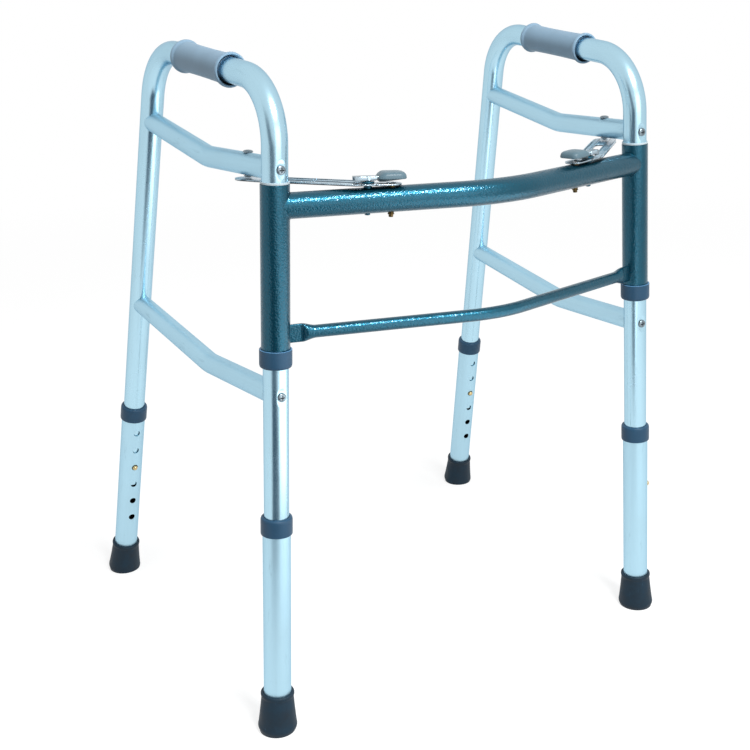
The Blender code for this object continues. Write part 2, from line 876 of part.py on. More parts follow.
def link():
    """The slotted latch link: eye, long slot, raised rims and lock hole."""
    pin_u = link_point(PIN_ALONG)[0]
    hole = link_point(PLUNGER_ALONG)
    slope = BAR_TURN - link_angle()
    tip_r = 10.0 * MM
    front = (
        hole[0] + tip_r * math.sin(slope),
        hole[1] - tip_r * math.cos(slope),
    )
    back_off = (front[1] - LINK_FRONT) / math.tan(slope)
    outline = arc((0.0, 0.0), LINK_REAR, 90, 250, 9)
    outline += [(12.0 * MM, LINK_FRONT), (front[0] - back_off, LINK_FRONT)]
    outline += arc(hole, tip_r, math.degrees(slope) - 90, 100, 9)
    outline += [(hole[0] - 16.0 * MM, LINK_REAR)]
    body = plate(outline, 0.0, LINK_THICKNESS)
    rims = []
    ends = (front[0] - back_off - 4 * MM, pin_u - 8 * MM)
    for edge, inward, end in ((LINK_FRONT, 1, ends[0]), (LINK_REAR, -1, ends[1])):
        low, high = sorted((edge + inward * 0.2 * MM, edge + inward * 1.8 * MM))
        rims.append(
            block(
                (16.0 * MM, low, LINK_THICKNESS * 0.5),
                (end, high, LINK_THICKNESS + LINK_RIM),
            )
        )
    body = join(body, rims)
    half = PIN_R + SLOT_CLEAR
    slot = arc((pin_u - LINK_TRAVEL, 0.0), half, 90, 270, 8)
    slot += arc((pin_u, 0.0), half, -90, 90, 8)
    low = -OVER
    high = LINK_THICKNESS + OVER
    cutters = [
        plate(slot, low, high),
        cylinder((0.0, 0.0, low), (0.0, 0.0, high), BOLT_R + GAP),
        cylinder((*hole, low), (*hole, high), PLUNGER_R + 0.8 * MM),
    ]
    return moved(cut(body, cutters), link_matrix())


def latch_matrix(along, height):
    """Lays X inboard along the crossbar, with Z square to the swing."""
    place = Matrix.Translation(along_bar(along, height))
    return place @ Matrix.Rotation(BAR_TURN, 4, "Z")


def guide_pin():
    """The pin that the link slides on, its head holding the lever's pivot."""
    axis = bar_height(PIN_ALONG)
    under = axis - BAR_R
    head = link_top() + SLOT_CLEAR
    profile = [
        (0.0, head + PIN_HEAD),
        (PIN_HEAD_R - 0.4 * MM, head + PIN_HEAD),
        (PIN_HEAD_R, head + PIN_HEAD - 0.4 * MM),
        (PIN_HEAD_R, head),
        (PIN_R, head),
        (PIN_R, under - GAP),
        (PIN_R + 1.6 * MM, under - GAP),
        (PIN_R + 1.0 * MM, under - 1.6 * MM),
        (0.0, under - 2.0 * MM),
    ]
    pin = lathe(profile, SMALL_ROUND)
    top = LEVER_PIVOT_H + 2.0 * MM
    post = block((-3.2 * MM, -3.0 * MM, head + 0.5 * MM), (3.2 * MM, 3.0 * MM, top))
    pin = join(pin, [post])
    hole = cylinder(
        (0.0, -2 * PIN_R, LEVER_PIVOT_H), (0.0, 2 * PIN_R, LEVER_PIVOT_H), 1.5 * MM, 12
    )
    return moved(cut(pin, [hole]), latch_matrix(PIN_ALONG, 0.0))


def lever_pivot():
    """The cross pin through the lever's ears and the guide pin's post."""
    half = 5.4 * MM
    pin = cylinder(
        (0.0, -half, LEVER_PIVOT_H), (0.0, half, LEVER_PIVOT_H), 1.5 * MM - GAP, 12
    )
    return moved(pin, latch_matrix(PIN_ALONG, 0.0))


def lever():
    """The pressed lever: a strip with two ears on the pivot and a tail outboard."""
    top = LEVER_TOP
    half = LEVER_HALF
    tail = TAIL_FROM - PIN_ALONG
    tip = PLUNGER_ALONG - PIN_ALONG + LEVER_TIP
    strip = block((tail, -half, top - LEVER_SKIN), (tip, half, top))
    ears = []
    for side in (-1, 1):
        low, high = sorted((side * (half - 1.5 * MM), side * half))
        ears.append(
            block(
                (-4.6 * MM, low, LEVER_PIVOT_H - 2.2 * MM), (4.6 * MM, high, top - 0.4 * MM)
            )
        )
    fold = block((tail, -half, top - 4.2 * MM), (tail + 1.2 * MM, half, top - 0.4 * MM))
    body = join(strip, ears + [fold])
    hole = cylinder(
        (0.0, -2 * half, LEVER_PIVOT_H), (0.0, 2 * half, LEVER_PIVOT_H), 1.5 * MM, 12
    )
    return moved(cut(body, [hole]), latch_matrix(PIN_ALONG, 0.0))


def paddle():
    """The moulded paddle, a shallow dome hollowed to fit over the lever."""
    length = PADDLE_TO - PADDLE_FROM
    middle = (PADDLE_FROM + PADDLE_TO) / 2 - PIN_ALONG
    outline = rounded_box(length / 2, PADDLE_HALF, 6.5 * MM)
    slab = as_object(plate(outline, PADDLE_RIM - PADDLE_ROUNDING, PADDLE_TOP))
    rounding = slab.modifiers.new("rounding", "BEVEL")
    rounding.width = PADDLE_ROUNDING
    rounding.segments = 3
    rounding.limit_method = "ANGLE"
    rounding.angle_limit = math.radians(50.0)
    dome = moved(evaluated_mesh(slab), Matrix.Translation((middle, 0.0, 0.0)))
    half = LEVER_HALF + GAP
    start = PADDLE_FROM - PIN_ALONG
    end = PLUNGER_ALONG - PIN_ALONG + LEVER_TIP + GAP
    low = LEVER_TOP - LEVER_SKIN - GAP
    wide = PADDLE_HALF - PADDLE_WALL
    deep = PADDLE_RIM - 2 * PADDLE_ROUNDING
    cutters = [
        block(
            (start - OVER, -2 * PADDLE_HALF, deep),
            (start + length + OVER, 2 * PADDLE_HALF, PADDLE_RIM),
        ),
        block((start - OVER, -half, low), (end, half, LEVER_TOP + GAP)),
        block(
            (start + PADDLE_WALL, -wide, deep),
            (start + length - PADDLE_WALL, wide, low + 0.6 * MM),
        ),
    ]
    return moved(cut(dome, cutters), latch_matrix(PIN_ALONG, 0.0))


def rounded_box(half_x, half_y, radius):
    """Outline of a rectangle with rounded corners, centred on the origin."""
    points = []
    for corner, (sx, sy) in enumerate(((1, 1), (-1, 1), (-1, -1), (1, -1))):
        centre = (sx * (half_x - radius), sy * (half_y - radius))
        points += arc(centre, radius, corner * 90, corner * 90 + 90, 3)
    return points


def press_stud():
    """The stud under the paddle that pushes the plunger down."""
    low = link_top() + LINK_RIM + PLUNGER_DROP + GAP
    high = LEVER_TOP - LEVER_SKIN - GAP
    profile = [(0.0, high), (PLUNGER_R, high), (PLUNGER_R, low + 0.4 * MM)]
    profile += [(PLUNGER_R - 0.5 * MM, low), (0.0, low)]
    return moved(lathe(profile, SMALL_ROUND), latch_matrix(PLUNGER_ALONG, 0.0))


def plunger():
    """The lock plunger through the crossbar, with its spring flange and clip."""
    axis = bar_height(PLUNGER_ALONG)
    top = LINK_BOTTOM - GAP
    flange = axis + PLUNGER_FLANGE
    low = axis - BAR_R - 6.0 * MM
    clip = axis - BAR_R - GAP - 1.0 * MM
    profile = [
        (0.0, top),
        (PLUNGER_R - 0.5 * MM, top),
        (PLUNGER_R, top - 0.5 * MM),
        (PLUNGER_R, flange),
        (PLUNGER_R + 1.3 * MM, flange),
        (PLUNGER_R + 1.3 * MM, flange - MM),
        (PLUNGER_R - 0.6 * MM, flange - MM),
        (PLUNGER_R - 0.6 * MM, clip),
        (PLUNGER_R + 0.9 * MM, clip - 0.1 * MM),
        (PLUNGER_R + 0.9 * MM, clip - 1.1 * MM),
        (PLUNGER_R - 0.6 * MM, clip - 1.2 * MM),
        (PLUNGER_R - 0.6 * MM, low + 0.8 * MM),
        (PLUNGER_R - 1.4 * MM, low),
        (0.0, low),
    ]
    return moved(lathe(profile, SMALL_ROUND), latch_matrix(PLUNGER_ALONG, 0.0))


def plunger_spring():
    """The coil round the plunger inside the crossbar."""
    axis = bar_height(PLUNGER_ALONG)
    wire = 0.4 * MM
    mean = PLUNGER_R + 0.5 * MM
    low = axis - 8.6 * MM + wire
    high = axis + PLUNGER_FLANGE - MM - GAP - wire
    turns = 4
    per_turn = 8
    count = turns * per_turn
    points = []
    for step in range(count + 1):
        angle = 2 * math.pi * step / per_turn
        height = low + (high - low) * step / count
        points.append(
            Vector((mean * math.cos(angle), mean * math.sin(angle), height))
        )
    return moved(rod(points, wire, 4), latch_matrix(PLUNGER_ALONG, 0.0))


# Assembly


class Builder:
    """Places meshes as named objects in the walker's collection."""

    def __init__(self):
        self.collection = new_collection("folding_walker")
        self.materials = {name: make_material(name) for name in MATERIALS}

    def empty(self, name, matrix, parent=None):
        obj = bpy.data.objects.new(name, None)
        obj.empty_display_size = 0.03
        self.collection.objects.link(obj)
        obj.parent = parent
        obj.matrix_local = matrix
        return obj

    def part(self, name, mesh, material, parent=None):
        mesh.name = name
        mesh.materials.clear()
        mesh.materials.append(self.materials[material])
        mesh.shade_smooth()
        mesh.set_sharp_from_angle(angle=math.radians(38.0))
        obj = bpy.data.objects.new(name, mesh)
        self.collection.objects.link(obj)
        obj.parent = parent
        return obj


def side_parts(side):
    """Every mesh of one side, as (name, mesh, material, group)."""
    parts = [
        ("side_tube", side_tube(side), "aluminium", "frame"),
        ("upper_brace", upper_brace(), "aluminium", "frame"),
        ("lower_brace", lower_brace(), "aluminium", "frame"),
        ("grip", grip(), "vinyl", "frame"),
        ("upper_screw", brace_screw(UPPER_BRACE_H), "zinc", "frame"),
        ("lower_screw", brace_screw(LOWER_BRACE_H), "zinc", "frame"),
        ("brace_bolt", brace_bolt(), "zinc", "frame"),
        ("sleeve_bushing", sleeve_bushing(), "collar", "frame"),
        ("sleeve", sleeve(), "paint", "front"),
        ("sleeve_washer", sleeve_washer(), "washer_nylon", "front"),
        ("guide_pin", guide_pin(), "paint", "front"),
        ("lever_pivot", lever_pivot(), "zinc", "front"),
        ("link", link(), "zinc", "link"),
        ("lever", lever(), "zinc", "lever"),
        ("paddle", paddle(), "paddle_plastic", "lever"),
        ("press_stud", press_stud(), "gold_zinc", "lever"),
        ("plunger", plunger(), "gold_zinc", "plunger"),
        ("plunger_spring", plunger_spring(), "spring_steel", "front"),
    ]
    for leg in ("front", "rear"):
        place = leg_matrix(leg)
        raise_collar = Matrix.Translation((0.0, 0.0, collar_top(leg)))
        tilt = side_matrix(-1) @ place
        legs = [
            ("leg", leg_extension(leg, side), "aluminium"),
            ("leg_collar", moved(leg_collar(), raise_collar), "collar"),
            ("tip", foot_tip(tilt), "rubber"),
        ]
        for name, mesh, material in legs:
            parts.append((f"{leg}_{name}", moved(mesh, place), material, f"{leg}_leg"))
        button = moved(snap_button(leg, side), place)
        spring = moved(snap_spring(leg, side), place)
        parts.append((f"{leg}_button", button, "brass", f"{leg}_button"))
        parts.append((f"{leg}_button_spring", spring, "spring_steel", "frame"))
    return parts


def groups():
    """Where each moving group's empty stands, in side frame coordinates."""
    buttons = {}
    for leg in ("front", "rear"):
        height = Matrix.Translation((0.0, 0.0, button_height(leg)))
        buttons[f"{leg}_button"] = leg_matrix(leg) @ height
    return {
        "frame": Matrix.Identity(4),
        "front": Matrix.Identity(4),
        "link": link_matrix(),
        "lever": latch_matrix(PIN_ALONG, LEVER_PIVOT_H),
        "plunger": latch_matrix(PLUNGER_ALONG, LINK_BOTTOM),
        "front_leg": leg_matrix("front"),
        "rear_leg": leg_matrix("rear"),
        **buttons,
    }


def flip(matrix):
    mirror = Matrix.Diagonal((-1.0, 1.0, 1.0, 1.0))
    return mirror @ matrix @ mirror


def build_side(builder, side, parts):
    """Hangs one side's meshes on empties that stand on its joints."""
    name = "left" if side < 0 else "right"
    holders = {}
    root = builder.empty(f"{name}_hinge_axis", side_matrix(side))
    for group, matrix in groups().items():
        placed = matrix if side < 0 else flip(matrix)
        holder = builder.empty(f"{name}_{group}_joint", placed, root)
        holders[group] = (holder, placed.inverted())
    for part, mesh, material, group in parts:
        if side > 0:
            mesh = mirrored(mesh)
        holder, to_local = holders[group]
        builder.part(f"{name}_{part}", moved(mesh, to_local), material, holder)


def main():
    clear_scene()
    builder = Builder()
    for side in (-1, 1):
        build_side(builder, side, side_parts(side))
    builder.part("top_crossbar", top_crossbar(), "paint")
    builder.part("lower_crossbar", lower_crossbar(), "paint")
    bpy.context.view_layer.update()


if __name__ == "__main__":
    main()
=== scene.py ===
import json
import math

import bmesh
import bpy
import numpy as np
from bpy.props import FloatProperty, FloatVectorProperty, IntProperty, PointerProperty
from mathutils import Matrix, Vector

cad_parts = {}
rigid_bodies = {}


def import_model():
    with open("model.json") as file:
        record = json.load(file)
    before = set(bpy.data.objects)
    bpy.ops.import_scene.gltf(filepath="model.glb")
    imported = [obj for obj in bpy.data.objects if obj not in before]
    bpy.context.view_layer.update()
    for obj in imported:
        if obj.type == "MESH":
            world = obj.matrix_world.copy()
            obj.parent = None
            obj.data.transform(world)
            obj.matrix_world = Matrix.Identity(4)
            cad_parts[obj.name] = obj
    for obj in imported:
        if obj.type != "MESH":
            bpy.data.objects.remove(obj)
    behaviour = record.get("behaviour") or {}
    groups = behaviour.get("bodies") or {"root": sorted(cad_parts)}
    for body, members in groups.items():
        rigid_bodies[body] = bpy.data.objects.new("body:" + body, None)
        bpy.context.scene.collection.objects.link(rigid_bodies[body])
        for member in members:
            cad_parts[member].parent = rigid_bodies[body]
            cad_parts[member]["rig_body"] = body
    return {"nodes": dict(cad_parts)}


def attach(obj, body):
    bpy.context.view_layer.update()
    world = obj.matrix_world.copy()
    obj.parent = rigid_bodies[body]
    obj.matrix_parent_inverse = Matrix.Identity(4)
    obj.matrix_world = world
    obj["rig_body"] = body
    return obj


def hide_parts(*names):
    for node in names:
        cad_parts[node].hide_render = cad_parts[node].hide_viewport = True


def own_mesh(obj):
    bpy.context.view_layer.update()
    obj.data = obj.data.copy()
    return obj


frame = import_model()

bl_info = {
    "name": "Folding Walker",
    "version": (1, 0, 0),
    "blender": (4, 5, 0),
    "location": "View3D > Sidebar > Walker",
    "description": "Dresses the folding walker's frame in its finished pieces",
    "category": "Object",
}

MM = 0.001
INCH = 0.0254
SIDES = ((-1, "left"), (1, "right"))
QUARTER = math.pi / 2
ACROSS = Vector((1.0, 0.0, 0.0))
UPRIGHT = Vector((0.0, 0.0, 1.0))

# stance of the two side frames
LEAN = math.radians(2.5)
SPLAY = math.radians(3.0)
FLOOR_HALF = 244.9 * MM
FRONT_LEG_Y = -194.7 * MM

# tube sizes
UPPER_R = INCH / 2
UPPER_WALL = 1.5 * MM
LOWER_WALL = 1.25 * MM
LOWER_R = UPPER_R + 0.3375 * MM + LOWER_WALL
BRACE_R = 0.875 * INCH / 2
BRACE_WALL = 1.4 * MM
SLEEVE_R = LOWER_R
BAR_R = UPPER_R
BAR_WALL = 1.6 * MM
LOW_BAR_R = 0.5 * INCH / 2
BORE_OVERRUN = 2.0 * MM

# outline of one side frame, as (to the rear, up)
RAIL_H = 666.0 * MM
RAIL_RISE = 0.083
REAR_FOOT = 435.0 * MM
REAR_RAKE = 0.23
BEND_R = 63.0 * MM
BRACE_BEND_R = 80.0 * MM
UPPER_BRACE_H = RAIL_H - 78.8 * MM
LOWER_BRACE_H = 366.5 * MM
# height in front, bend, height at the rear
BRACES = {
    "upper": (UPPER_BRACE_H, (145.0 * MM, UPPER_BRACE_H - 4.1 * MM), UPPER_BRACE_H + 19.8 * MM),
    "lower": (LOWER_BRACE_H, (150.0 * MM, LOWER_BRACE_H - 7.0 * MM), LOWER_BRACE_H + 18.0 * MM),
}

# legs, as distances up each leg from the floor
HOLES_ABOVE = 2
HOLES_BELOW = 3
BUTTON_UP = {"front": 160.0 * MM, "rear": 166.3 * MM}
COLLAR_TOP = {"front": 239.0 * MM, "rear": 252.0 * MM}
TUBE_BELOW_BUTTON = 27.0 * MM
LEG_END = 9.0 * MM
FRONT_BUTTON_FACES = {-1: math.radians(90.0), 1: math.radians(194.0)}

# collars, tips, buttons and grips
COLLAR_R = LOWER_R + 1.9 * MM
COLLAR_HEIGHT = 18.5 * MM
COLLAR_LIP = 1.7 * MM
TIP_HEIGHT = 43.5 * MM
TIP_SOLE_R = LOWER_R + 6.2 * MM
TIP_NECK_R = LOWER_R + 2.6 * MM
TIP_LIP_R = TIP_NECK_R + 0.6 * MM
BUTTON_R = 3.2 * MM
BUTTON_PROUD = 3.2 * MM
BUTTON_FLANGE = 1.6 * MM
GRIP_FROM = 88.5 * MM
GRIP_TO = 198.5 * MM

# front frame
SLEEVE_TOP = UPPER_BRACE_H - 14.2 * MM
SLEEVE_BOTTOM = LOWER_BRACE_H + 30.0 * MM
SLEEVE_WALL = 1.2 * MM
BAR_H = SLEEVE_TOP - 22.0 * MM
LOW_BAR_H = SLEEVE_BOTTOM + 29.5 * MM
BOW = math.radians(15.5)
BOW_STRAIGHT = 45.0 * MM
LOW_BOW = math.radians(14.0)
LOW_BOW_STRAIGHT = 32.0 * MM
FLAT_LENGTH = 24.0 * MM
FLAT_HALF_HEIGHT = 9.2 * MM
FLAT_HALF_THICKNESS = 1.8 * MM
LEFT_WELD_SHARE = 0.45

# latch, with distances along the crossbar taken from the leg's axis
BOLT_BACK = 54.7 * MM
PIN_ALONG = 89.6 * MM
PLUNGER_ALONG = 113.0 * MM
BAR_TURN = -(BOW + SPLAY)
LINK_BOTTOM = SLEEVE_TOP - 2.8 * MM
LINK_THICKNESS = 1.6 * MM
LINK_RIM = 0.8 * MM
LINK_TOP = LINK_BOTTOM + LINK_THICKNESS
LINK_FRONT = -15.0 * MM
LINK_REAR = 13.0 * MM
LINK_TRAVEL = 79.3 * MM
LINK_TIP_R = 10.0 * MM
PIN_R = 4.0 * MM
PIN_FOOT_R = 2.9 * MM
SLOT_CLEAR = 0.4 * MM
PIN_HEAD_R = 6.5 * MM
PIN_HEAD = 1.6 * MM
PLUNGER_R = 4.2 * MM
PLUNGER_DROP = 2.6 * MM
PLUNGER_FLANGE = 8.4 * MM
COIL_WIRE = 0.4 * MM
LEVER_PIVOT_H = LINK_TOP + 4.8 * MM
LEVER_PIVOT_R = 1.0 * MM
LEVER_TOP = LEVER_PIVOT_H + 4.0 * MM
LEVER_SKIN = 1.0 * MM
LEVER_SINK = 1.9 * MM
LEVER_HALF = 4.9 * MM
LEVER_TIP = 8.0 * MM
PADDLE_RIM = LEVER_TOP - 4.0 * MM
PADDLE_CROWN = LEVER_TOP + 2.9 * MM
PADDLE_FROM = 98.0 * MM
PADDLE_TO = 126.5 * MM
PADDLE_HALF = 12.0 * MM
TAIL_FROM = 74.0 * MM

# painted shade lines along the link's ribs, across it
LINK_SHADE_LINES = (-12.8 * MM, -6.3 * MM, 6.3 * MM, 10.8 * MM)

# fasteners
SCREW_R = 2.5 * MM
SCREW_HEAD_R = 4.5 * MM
SCREW_HEAD = 2.4 * MM
SCREW_SEAT = 0.9 * MM
SCREW_LENGTH = 9.0 * MM
BOLT_R = 3.2 * MM
BOLT_HEAD_R = 5.0 * MM
BOLT_HEAD = 2.6 * MM

# between pieces that turn or slide on one another
RUNNING_GAP = 0.3 * MM

# facets round turned pieces
RING = 96
SMALL_RING = 48
SHARP = math.radians(38.0)

# the photograph's camera, in pixels of its 750 x 750 frame
IMAGE_SIDE = 750.0
OPTICAL_ROW = 299.375
FOCAL_PIXELS = 1197.08
CAMERA_YAW = math.radians(29.351)
CAMERA_PITCH = math.radians(15.009)
CAMERA_ROLL = math.radians(-1.33)

# stored on the meshes: the place along a straight tube, and painted shade below 0 with a lighter
# colour above 0
TUBE_RUN = "tube_run"
SHADE_AND_LIGHT = "touch"


def length(name, description, default):
    return FloatProperty(
        name=name, description=description, default=default, unit="LENGTH", subtype="DISTANCE"
    )


def colour(name, description, *default):
    return FloatVectorProperty(
        name=name, description=description, default=default, subtype="COLOR", size=3,
        min=0.0, max=1.0,
    )


def watts(name, description, default):
    return FloatProperty(name=name, description=description, default=default, unit="POWER")


class WalkerSizes(bpy.types.PropertyGroup):
    """Sizes of the finished pieces that a user may change."""

    tube_sides: IntProperty(
        name="Tube sides", description="Facets round each drawn tube", default=96, min=16, max=160
    )
    hole_radius: length("Hole radius", "Radius of the adjusting holes in the legs", 4.0 * MM)
    hole_pitch: length("Hole pitch", "Distance between the adjusting holes", INCH)
    grip_radius: length("Grip radius", "Radius at the middle of a hand grip", UPPER_R + 2.3 * MM)
    grip_flange_radius: length(
        "Grip flange radius", "Radius of the rolled flange at each end of a grip",
        UPPER_R + 4.9 * MM,
    )
    dimple_depth: length("Dimple depth", "Depth of the dish of each brace screw", SCREW_SEAT)
    weld_radius: length("Weld radius", "Radius of the crossbar's saddle at a sleeve", 7.0 * MM)


class WalkerColours(bpy.types.PropertyGroup):
    """Base colours of the walker's finishes, in linear values."""

    aluminium: colour("Aluminium", "Clear anodised tube", 0.45, 0.68, 0.80)
    paint: colour("Paint", "Hammered paint of the front frame", 0.005, 0.076, 0.122)
    vinyl: colour("Vinyl", "Moulded hand grips", 0.24, 0.37, 0.49)
    collar: colour("Collar", "Moulded collars", 0.021, 0.074, 0.140)
    rubber: colour("Rubber", "Foot tips", 0.005, 0.020, 0.036)
    zinc: colour("Zinc", "Plated link, lever and screws", 0.50, 0.62, 0.70)
    # the gold zinc is darkened far below its own colour as painted shade on the plunger and stud
    gold_zinc: colour("Gold zinc", "Plunger and stud", 0.06, 0.045, 0.018)
    brass: colour("Brass", "Snap buttons", 0.60, 0.47, 0.24)
    spring_steel: colour("Spring steel", "Springs", 0.30, 0.33, 0.36)
    paddle: colour("Paddle", "Moulded latch paddles", 0.10, 0.17, 0.21)
    nylon: colour("Nylon", "Sleeve washers", 0.50, 0.60, 0.65)


class WalkerStage(bpy.types.PropertyGroup):
    """Where the camera stands and how strong the lamps are."""

    camera_place: FloatVectorProperty(
        name="Camera", description="Where the camera stands", size=3,
        default=(-0.6846, -1.2058, 0.7561), subtype="TRANSLATION", unit="LENGTH",
    )
    key_power: watts("Key lamp", "Watts of the lamp above the front", 42.0)
    side_power: watts("Side lamp", "Watts of the softbox to the right", 7.0)
    card_power: watts("Card", "Watts of the card that the near leg mirrors", 0.8)
    sky: FloatProperty(
        name="Sky", description="Strength of the plain light all round", default=0.48
    )


# Matrices


def shift(x=0.0, y=0.0, z=0.0):
    return Matrix.Translation((x, y, z))


def rotation(angle, axis):
    return Matrix.Rotation(angle, 4, axis)


# Meshes


def placed_object(name, data):
    obj = bpy.data.objects.new(name, data)
    bpy.context.scene.collection.objects.link(obj)
    return obj


def mesh_from(bm):
    bmesh.ops.recalc_face_normals(bm, faces=bm.faces)
    mesh = bpy.data.meshes.new("shape")
    bm.to_mesh(mesh)
    bm.free()
    return mesh


def merged_copy(mesh, distance=1e-6):
    """A copy of a mesh with its doubled points joined, open for editing."""
    bm = bmesh.new()
    bm.from_mesh(mesh)
    bmesh.ops.remove_doubles(bm, verts=bm.verts, dist=distance)
    return bm


def wire_mesh(points, faces=()):
    """A mesh of the points: with faces, or as one open line."""
    mesh = bpy.data.meshes.new("wire")
    edges = [] if faces else [(i, i + 1) for i in range(len(points) - 1)]
    mesh.from_pydata([tuple(point) for point in points], edges, faces)
    return mesh


def skin(rings, loop=False):
    """A mesh through rings of points. A ring of one point is a pole."""
    starts = [0]
    for ring in rings:
        starts.append(starts[-1] + len(ring))
    pairs = [(i, i + 1) for i in range(len(rings) - 1)] + [(len(rings) - 1, 0)] * loop
    faces = []
    for first, second in pairs:
        low, high = len(rings[first]), len(rings[second])
        count = max(low, high)
        for i in range(count):
            j = (i + 1) % count
            face = [starts[first] + i % low, starts[first] + j % low]
            face += [starts[second] + j % high, starts[second] + i % high]
            face = list(dict.fromkeys(face))
            if len(face) > 2:
                faces.append(face)
    mesh = wire_mesh([point for ring in rings for point in ring], faces)
    bm = bmesh.new()
    bm.from_mesh(mesh)
    bpy.data.meshes.remove(mesh)
    return mesh_from(bm)


def eased(corners, steps=4):
    """The corners, each (x, y, ease), with a round of that reach at each one."""
    points = []
    for i, (x, y, ease) in enumerate(corners):
        here = Vector((x, y))
        if ease <= 0.0:
            points.append(here)
            continue
        ends = []
        for other in (corners[i - 1], corners[(i + 1) % len(corners)]):
            way = Vector(other[:2]) - here
            ends.append(here + way.normalized() * min(ease, 0.49 * way.length))
        for step in range(steps + 1):
            t = step / steps
            points.append(ends[0] * (1 - t) ** 2 + here * 2 * t * (1 - t) + ends[1] * t ** 2)
    return points


def circle(radius, sides):
    angles = [2 * math.pi * i / sides for i in range(sides)]
    return [(radius * math.cos(a), radius * math.sin(a)) for a in angles]


def turned(corners, sides=RING, loop=False):
    """A shape turned about Z from a profile of (radius, height, ease) corners."""
    rings = []
    for radius, height in eased(corners):
        around = circle(radius, sides) if radius > 1e-6 else [(0.0, 0.0)]
        rings.append([Vector((x, y, height)) for x, y in around])
    return skin(rings, loop)


def dome(radius, top, drop, count, last):
    """Corners of a round head that falls by drop from its top."""
    angles = [QUARTER * step / count for step in range(1, last + 1)]
    return [(0.0, top, 0.0)] + [
        (radius * math.sin(a), top - drop * (1.0 - math.cos(a)), 0.0) for a in angles
    ]


def transformed(mesh, matrix):
    mesh.transform(matrix)
    if matrix.determinant() < 0.0:
        mesh.flip_normals()
    return mesh


def rounded_path(corners, radius, steps):
    """Points along straight runs, with each inner corner rounded to the radius."""
    corners = [Vector(corner) for corner in corners]
    points = [corners[0]]
    for before, corner, after in zip(corners, corners[1:], corners[2:]):
        back, ahead = (before - corner).normalized(), (after - corner).normalized()
        half = back.angle(ahead) / 2
        reach = radius / math.tan(half)
        centre = corner + (back + ahead).normalized() * radius / math.sin(half)
        first = corner + back * reach - centre
        last = corner + ahead * reach - centre
        axis, sweep = first.cross(last).normalized(), first.angle(last)
        for step in range(steps + 1):
            points.append(centre + Matrix.Rotation(sweep * step / steps, 3, axis) @ first)
    return points + [corners[-1]]


def with_stations(points, places, reach, pitch):
    """The path with extra points, a pitch apart, within reach of each place."""
    run = [0.0]
    for first, second in zip(points, points[1:]):
        run.append(run[-1] + (second - first).length)
    stations = set(run)
    for place in places:
        nearest = run_of(points, run, place)
        count = int(reach / pitch)
        offsets = [nearest + step * pitch for step in range(-count, count + 1)]
        stations.update(at for at in offsets if run[0] < at < run[-1])
    ordered = sorted(stations)
    kept = [ordered[0]]
    for at in ordered[1:]:
        if at - kept[-1] > 0.2 * pitch:
            kept.append(at)
    kept[-1] = ordered[-1]
    return [point_on(points, run, at) for at in kept]


def run_of(points, run, place):
    """How far along the path the point nearest to the place is."""
    found = []
    for first, second, start in zip(points, points[1:], run):
        along = second - first
        share = min(max((place - first).dot(along) / along.length_squared, 0.0), 1.0)
        found.append(((first + along * share - place).length, start + along.length * share))
    return min(found, key=lambda item: item[0])[1]


def point_on(points, run, at):
    for first, second, start, end in zip(points, points[1:], run, run[1:]):
        if at <= end + 1e-9:
            return first.lerp(second, (at - start) / (end - start))
    return points[-1].copy()


def frames_along(points, across):
    """For each point of a flat path: the point, the way across it, up from it and on."""
    ways = [(second - first).normalized() for first, second in zip(points, points[1:])]
    frames = []
    for point, back, ahead in zip(points, [ways[0], *ways], [*ways, ways[-1]]):
        on = (back + ahead).normalized()
        frames.append((point, across, on.cross(across).normalized(), on))
    return frames


def ring_at(station, offsets):
    point, across, up, _on = station
    return [point + across * x + up * y for x, y in offsets]


def tube_rings(stations, radius, wall, sides):
    """The outer and inner rings of a tube through the stations."""
    return [
        [ring_at(station, circle(r, sides)) for station in stations]
        for r in (radius, radius - wall)
    ]


def coordinates(mesh):
    co = np.empty(len(mesh.vertices) * 3)
    mesh.vertices.foreach_get("co", co)
    return co.reshape(-1, 3)


def store(mesh, name, values):
    """Keeps a number or a vector for each vertex."""
    values = np.asarray(values, np.float32)
    kind, field = ("FLOAT", "value") if values.ndim == 1 else ("FLOAT_VECTOR", "vector")
    mesh.attributes.new(name, kind, "POINT").data.foreach_set(field, values.ravel())
    return mesh


def mark_run(mesh, points, across):
    """Stores where each vertex would be if the tube were straight: (across, up, run)."""
    co = coordinates(mesh)
    line, side = np.array([tuple(point) for point in points]), np.array(tuple(across))
    best, marks, run = np.full(len(co), 1e9), np.zeros((len(co), 3)), 0.0
    for start, step in zip(line[:-1], np.diff(line, axis=0)):
        reach = np.linalg.norm(step)
        on = step / reach
        share = np.clip(((co - start) @ on) / reach, 0.0, 1.0)
        offset = co - (start + share[:, None] * step)
        gap = np.linalg.norm(offset, axis=1)
        near = gap < best
        best[near] = gap[near]
        marks[near, 0] = offset[near] @ side
        marks[near, 1] = offset[near] @ np.cross(on, side)
        marks[near, 2] = run + share[near] * reach
        run += reach
    return store(mesh, TUBE_RUN, marks)


def mark_shade_and_light(mesh, rule):
    """Stores where shade is painted on a finish, below 0, or a lighter colour, above 0."""
    return store(mesh, SHADE_AND_LIGHT, [rule(vertex.co) for vertex in mesh.vertices])


def shade_bore(mesh, radius):
    """Paints shade on the bore of a tube and the walls of its holes, by depth below its outside.
    """
    marks = np.empty(len(mesh.vertices) * 3, np.float32)
    mesh.attributes[TUBE_RUN].data.foreach_get("vector", marks)
    depth = radius - np.hypot(marks[0::3], marks[1::3])
    return store(mesh, SHADE_AND_LIGHT, -np.clip((depth - 0.05 * MM) / (0.5 * MM), 0.0, 1.0))


def evaluated(obj):
    """The object's mesh with its modifiers applied, and the object removed."""
    bpy.context.view_layer.update()
    graph = bpy.context.evaluated_depsgraph_get()
    mesh = bpy.data.meshes.new_from_object(obj.evaluated_get(graph))
    bpy.data.objects.remove(obj, do_unlink=True)
    return mesh


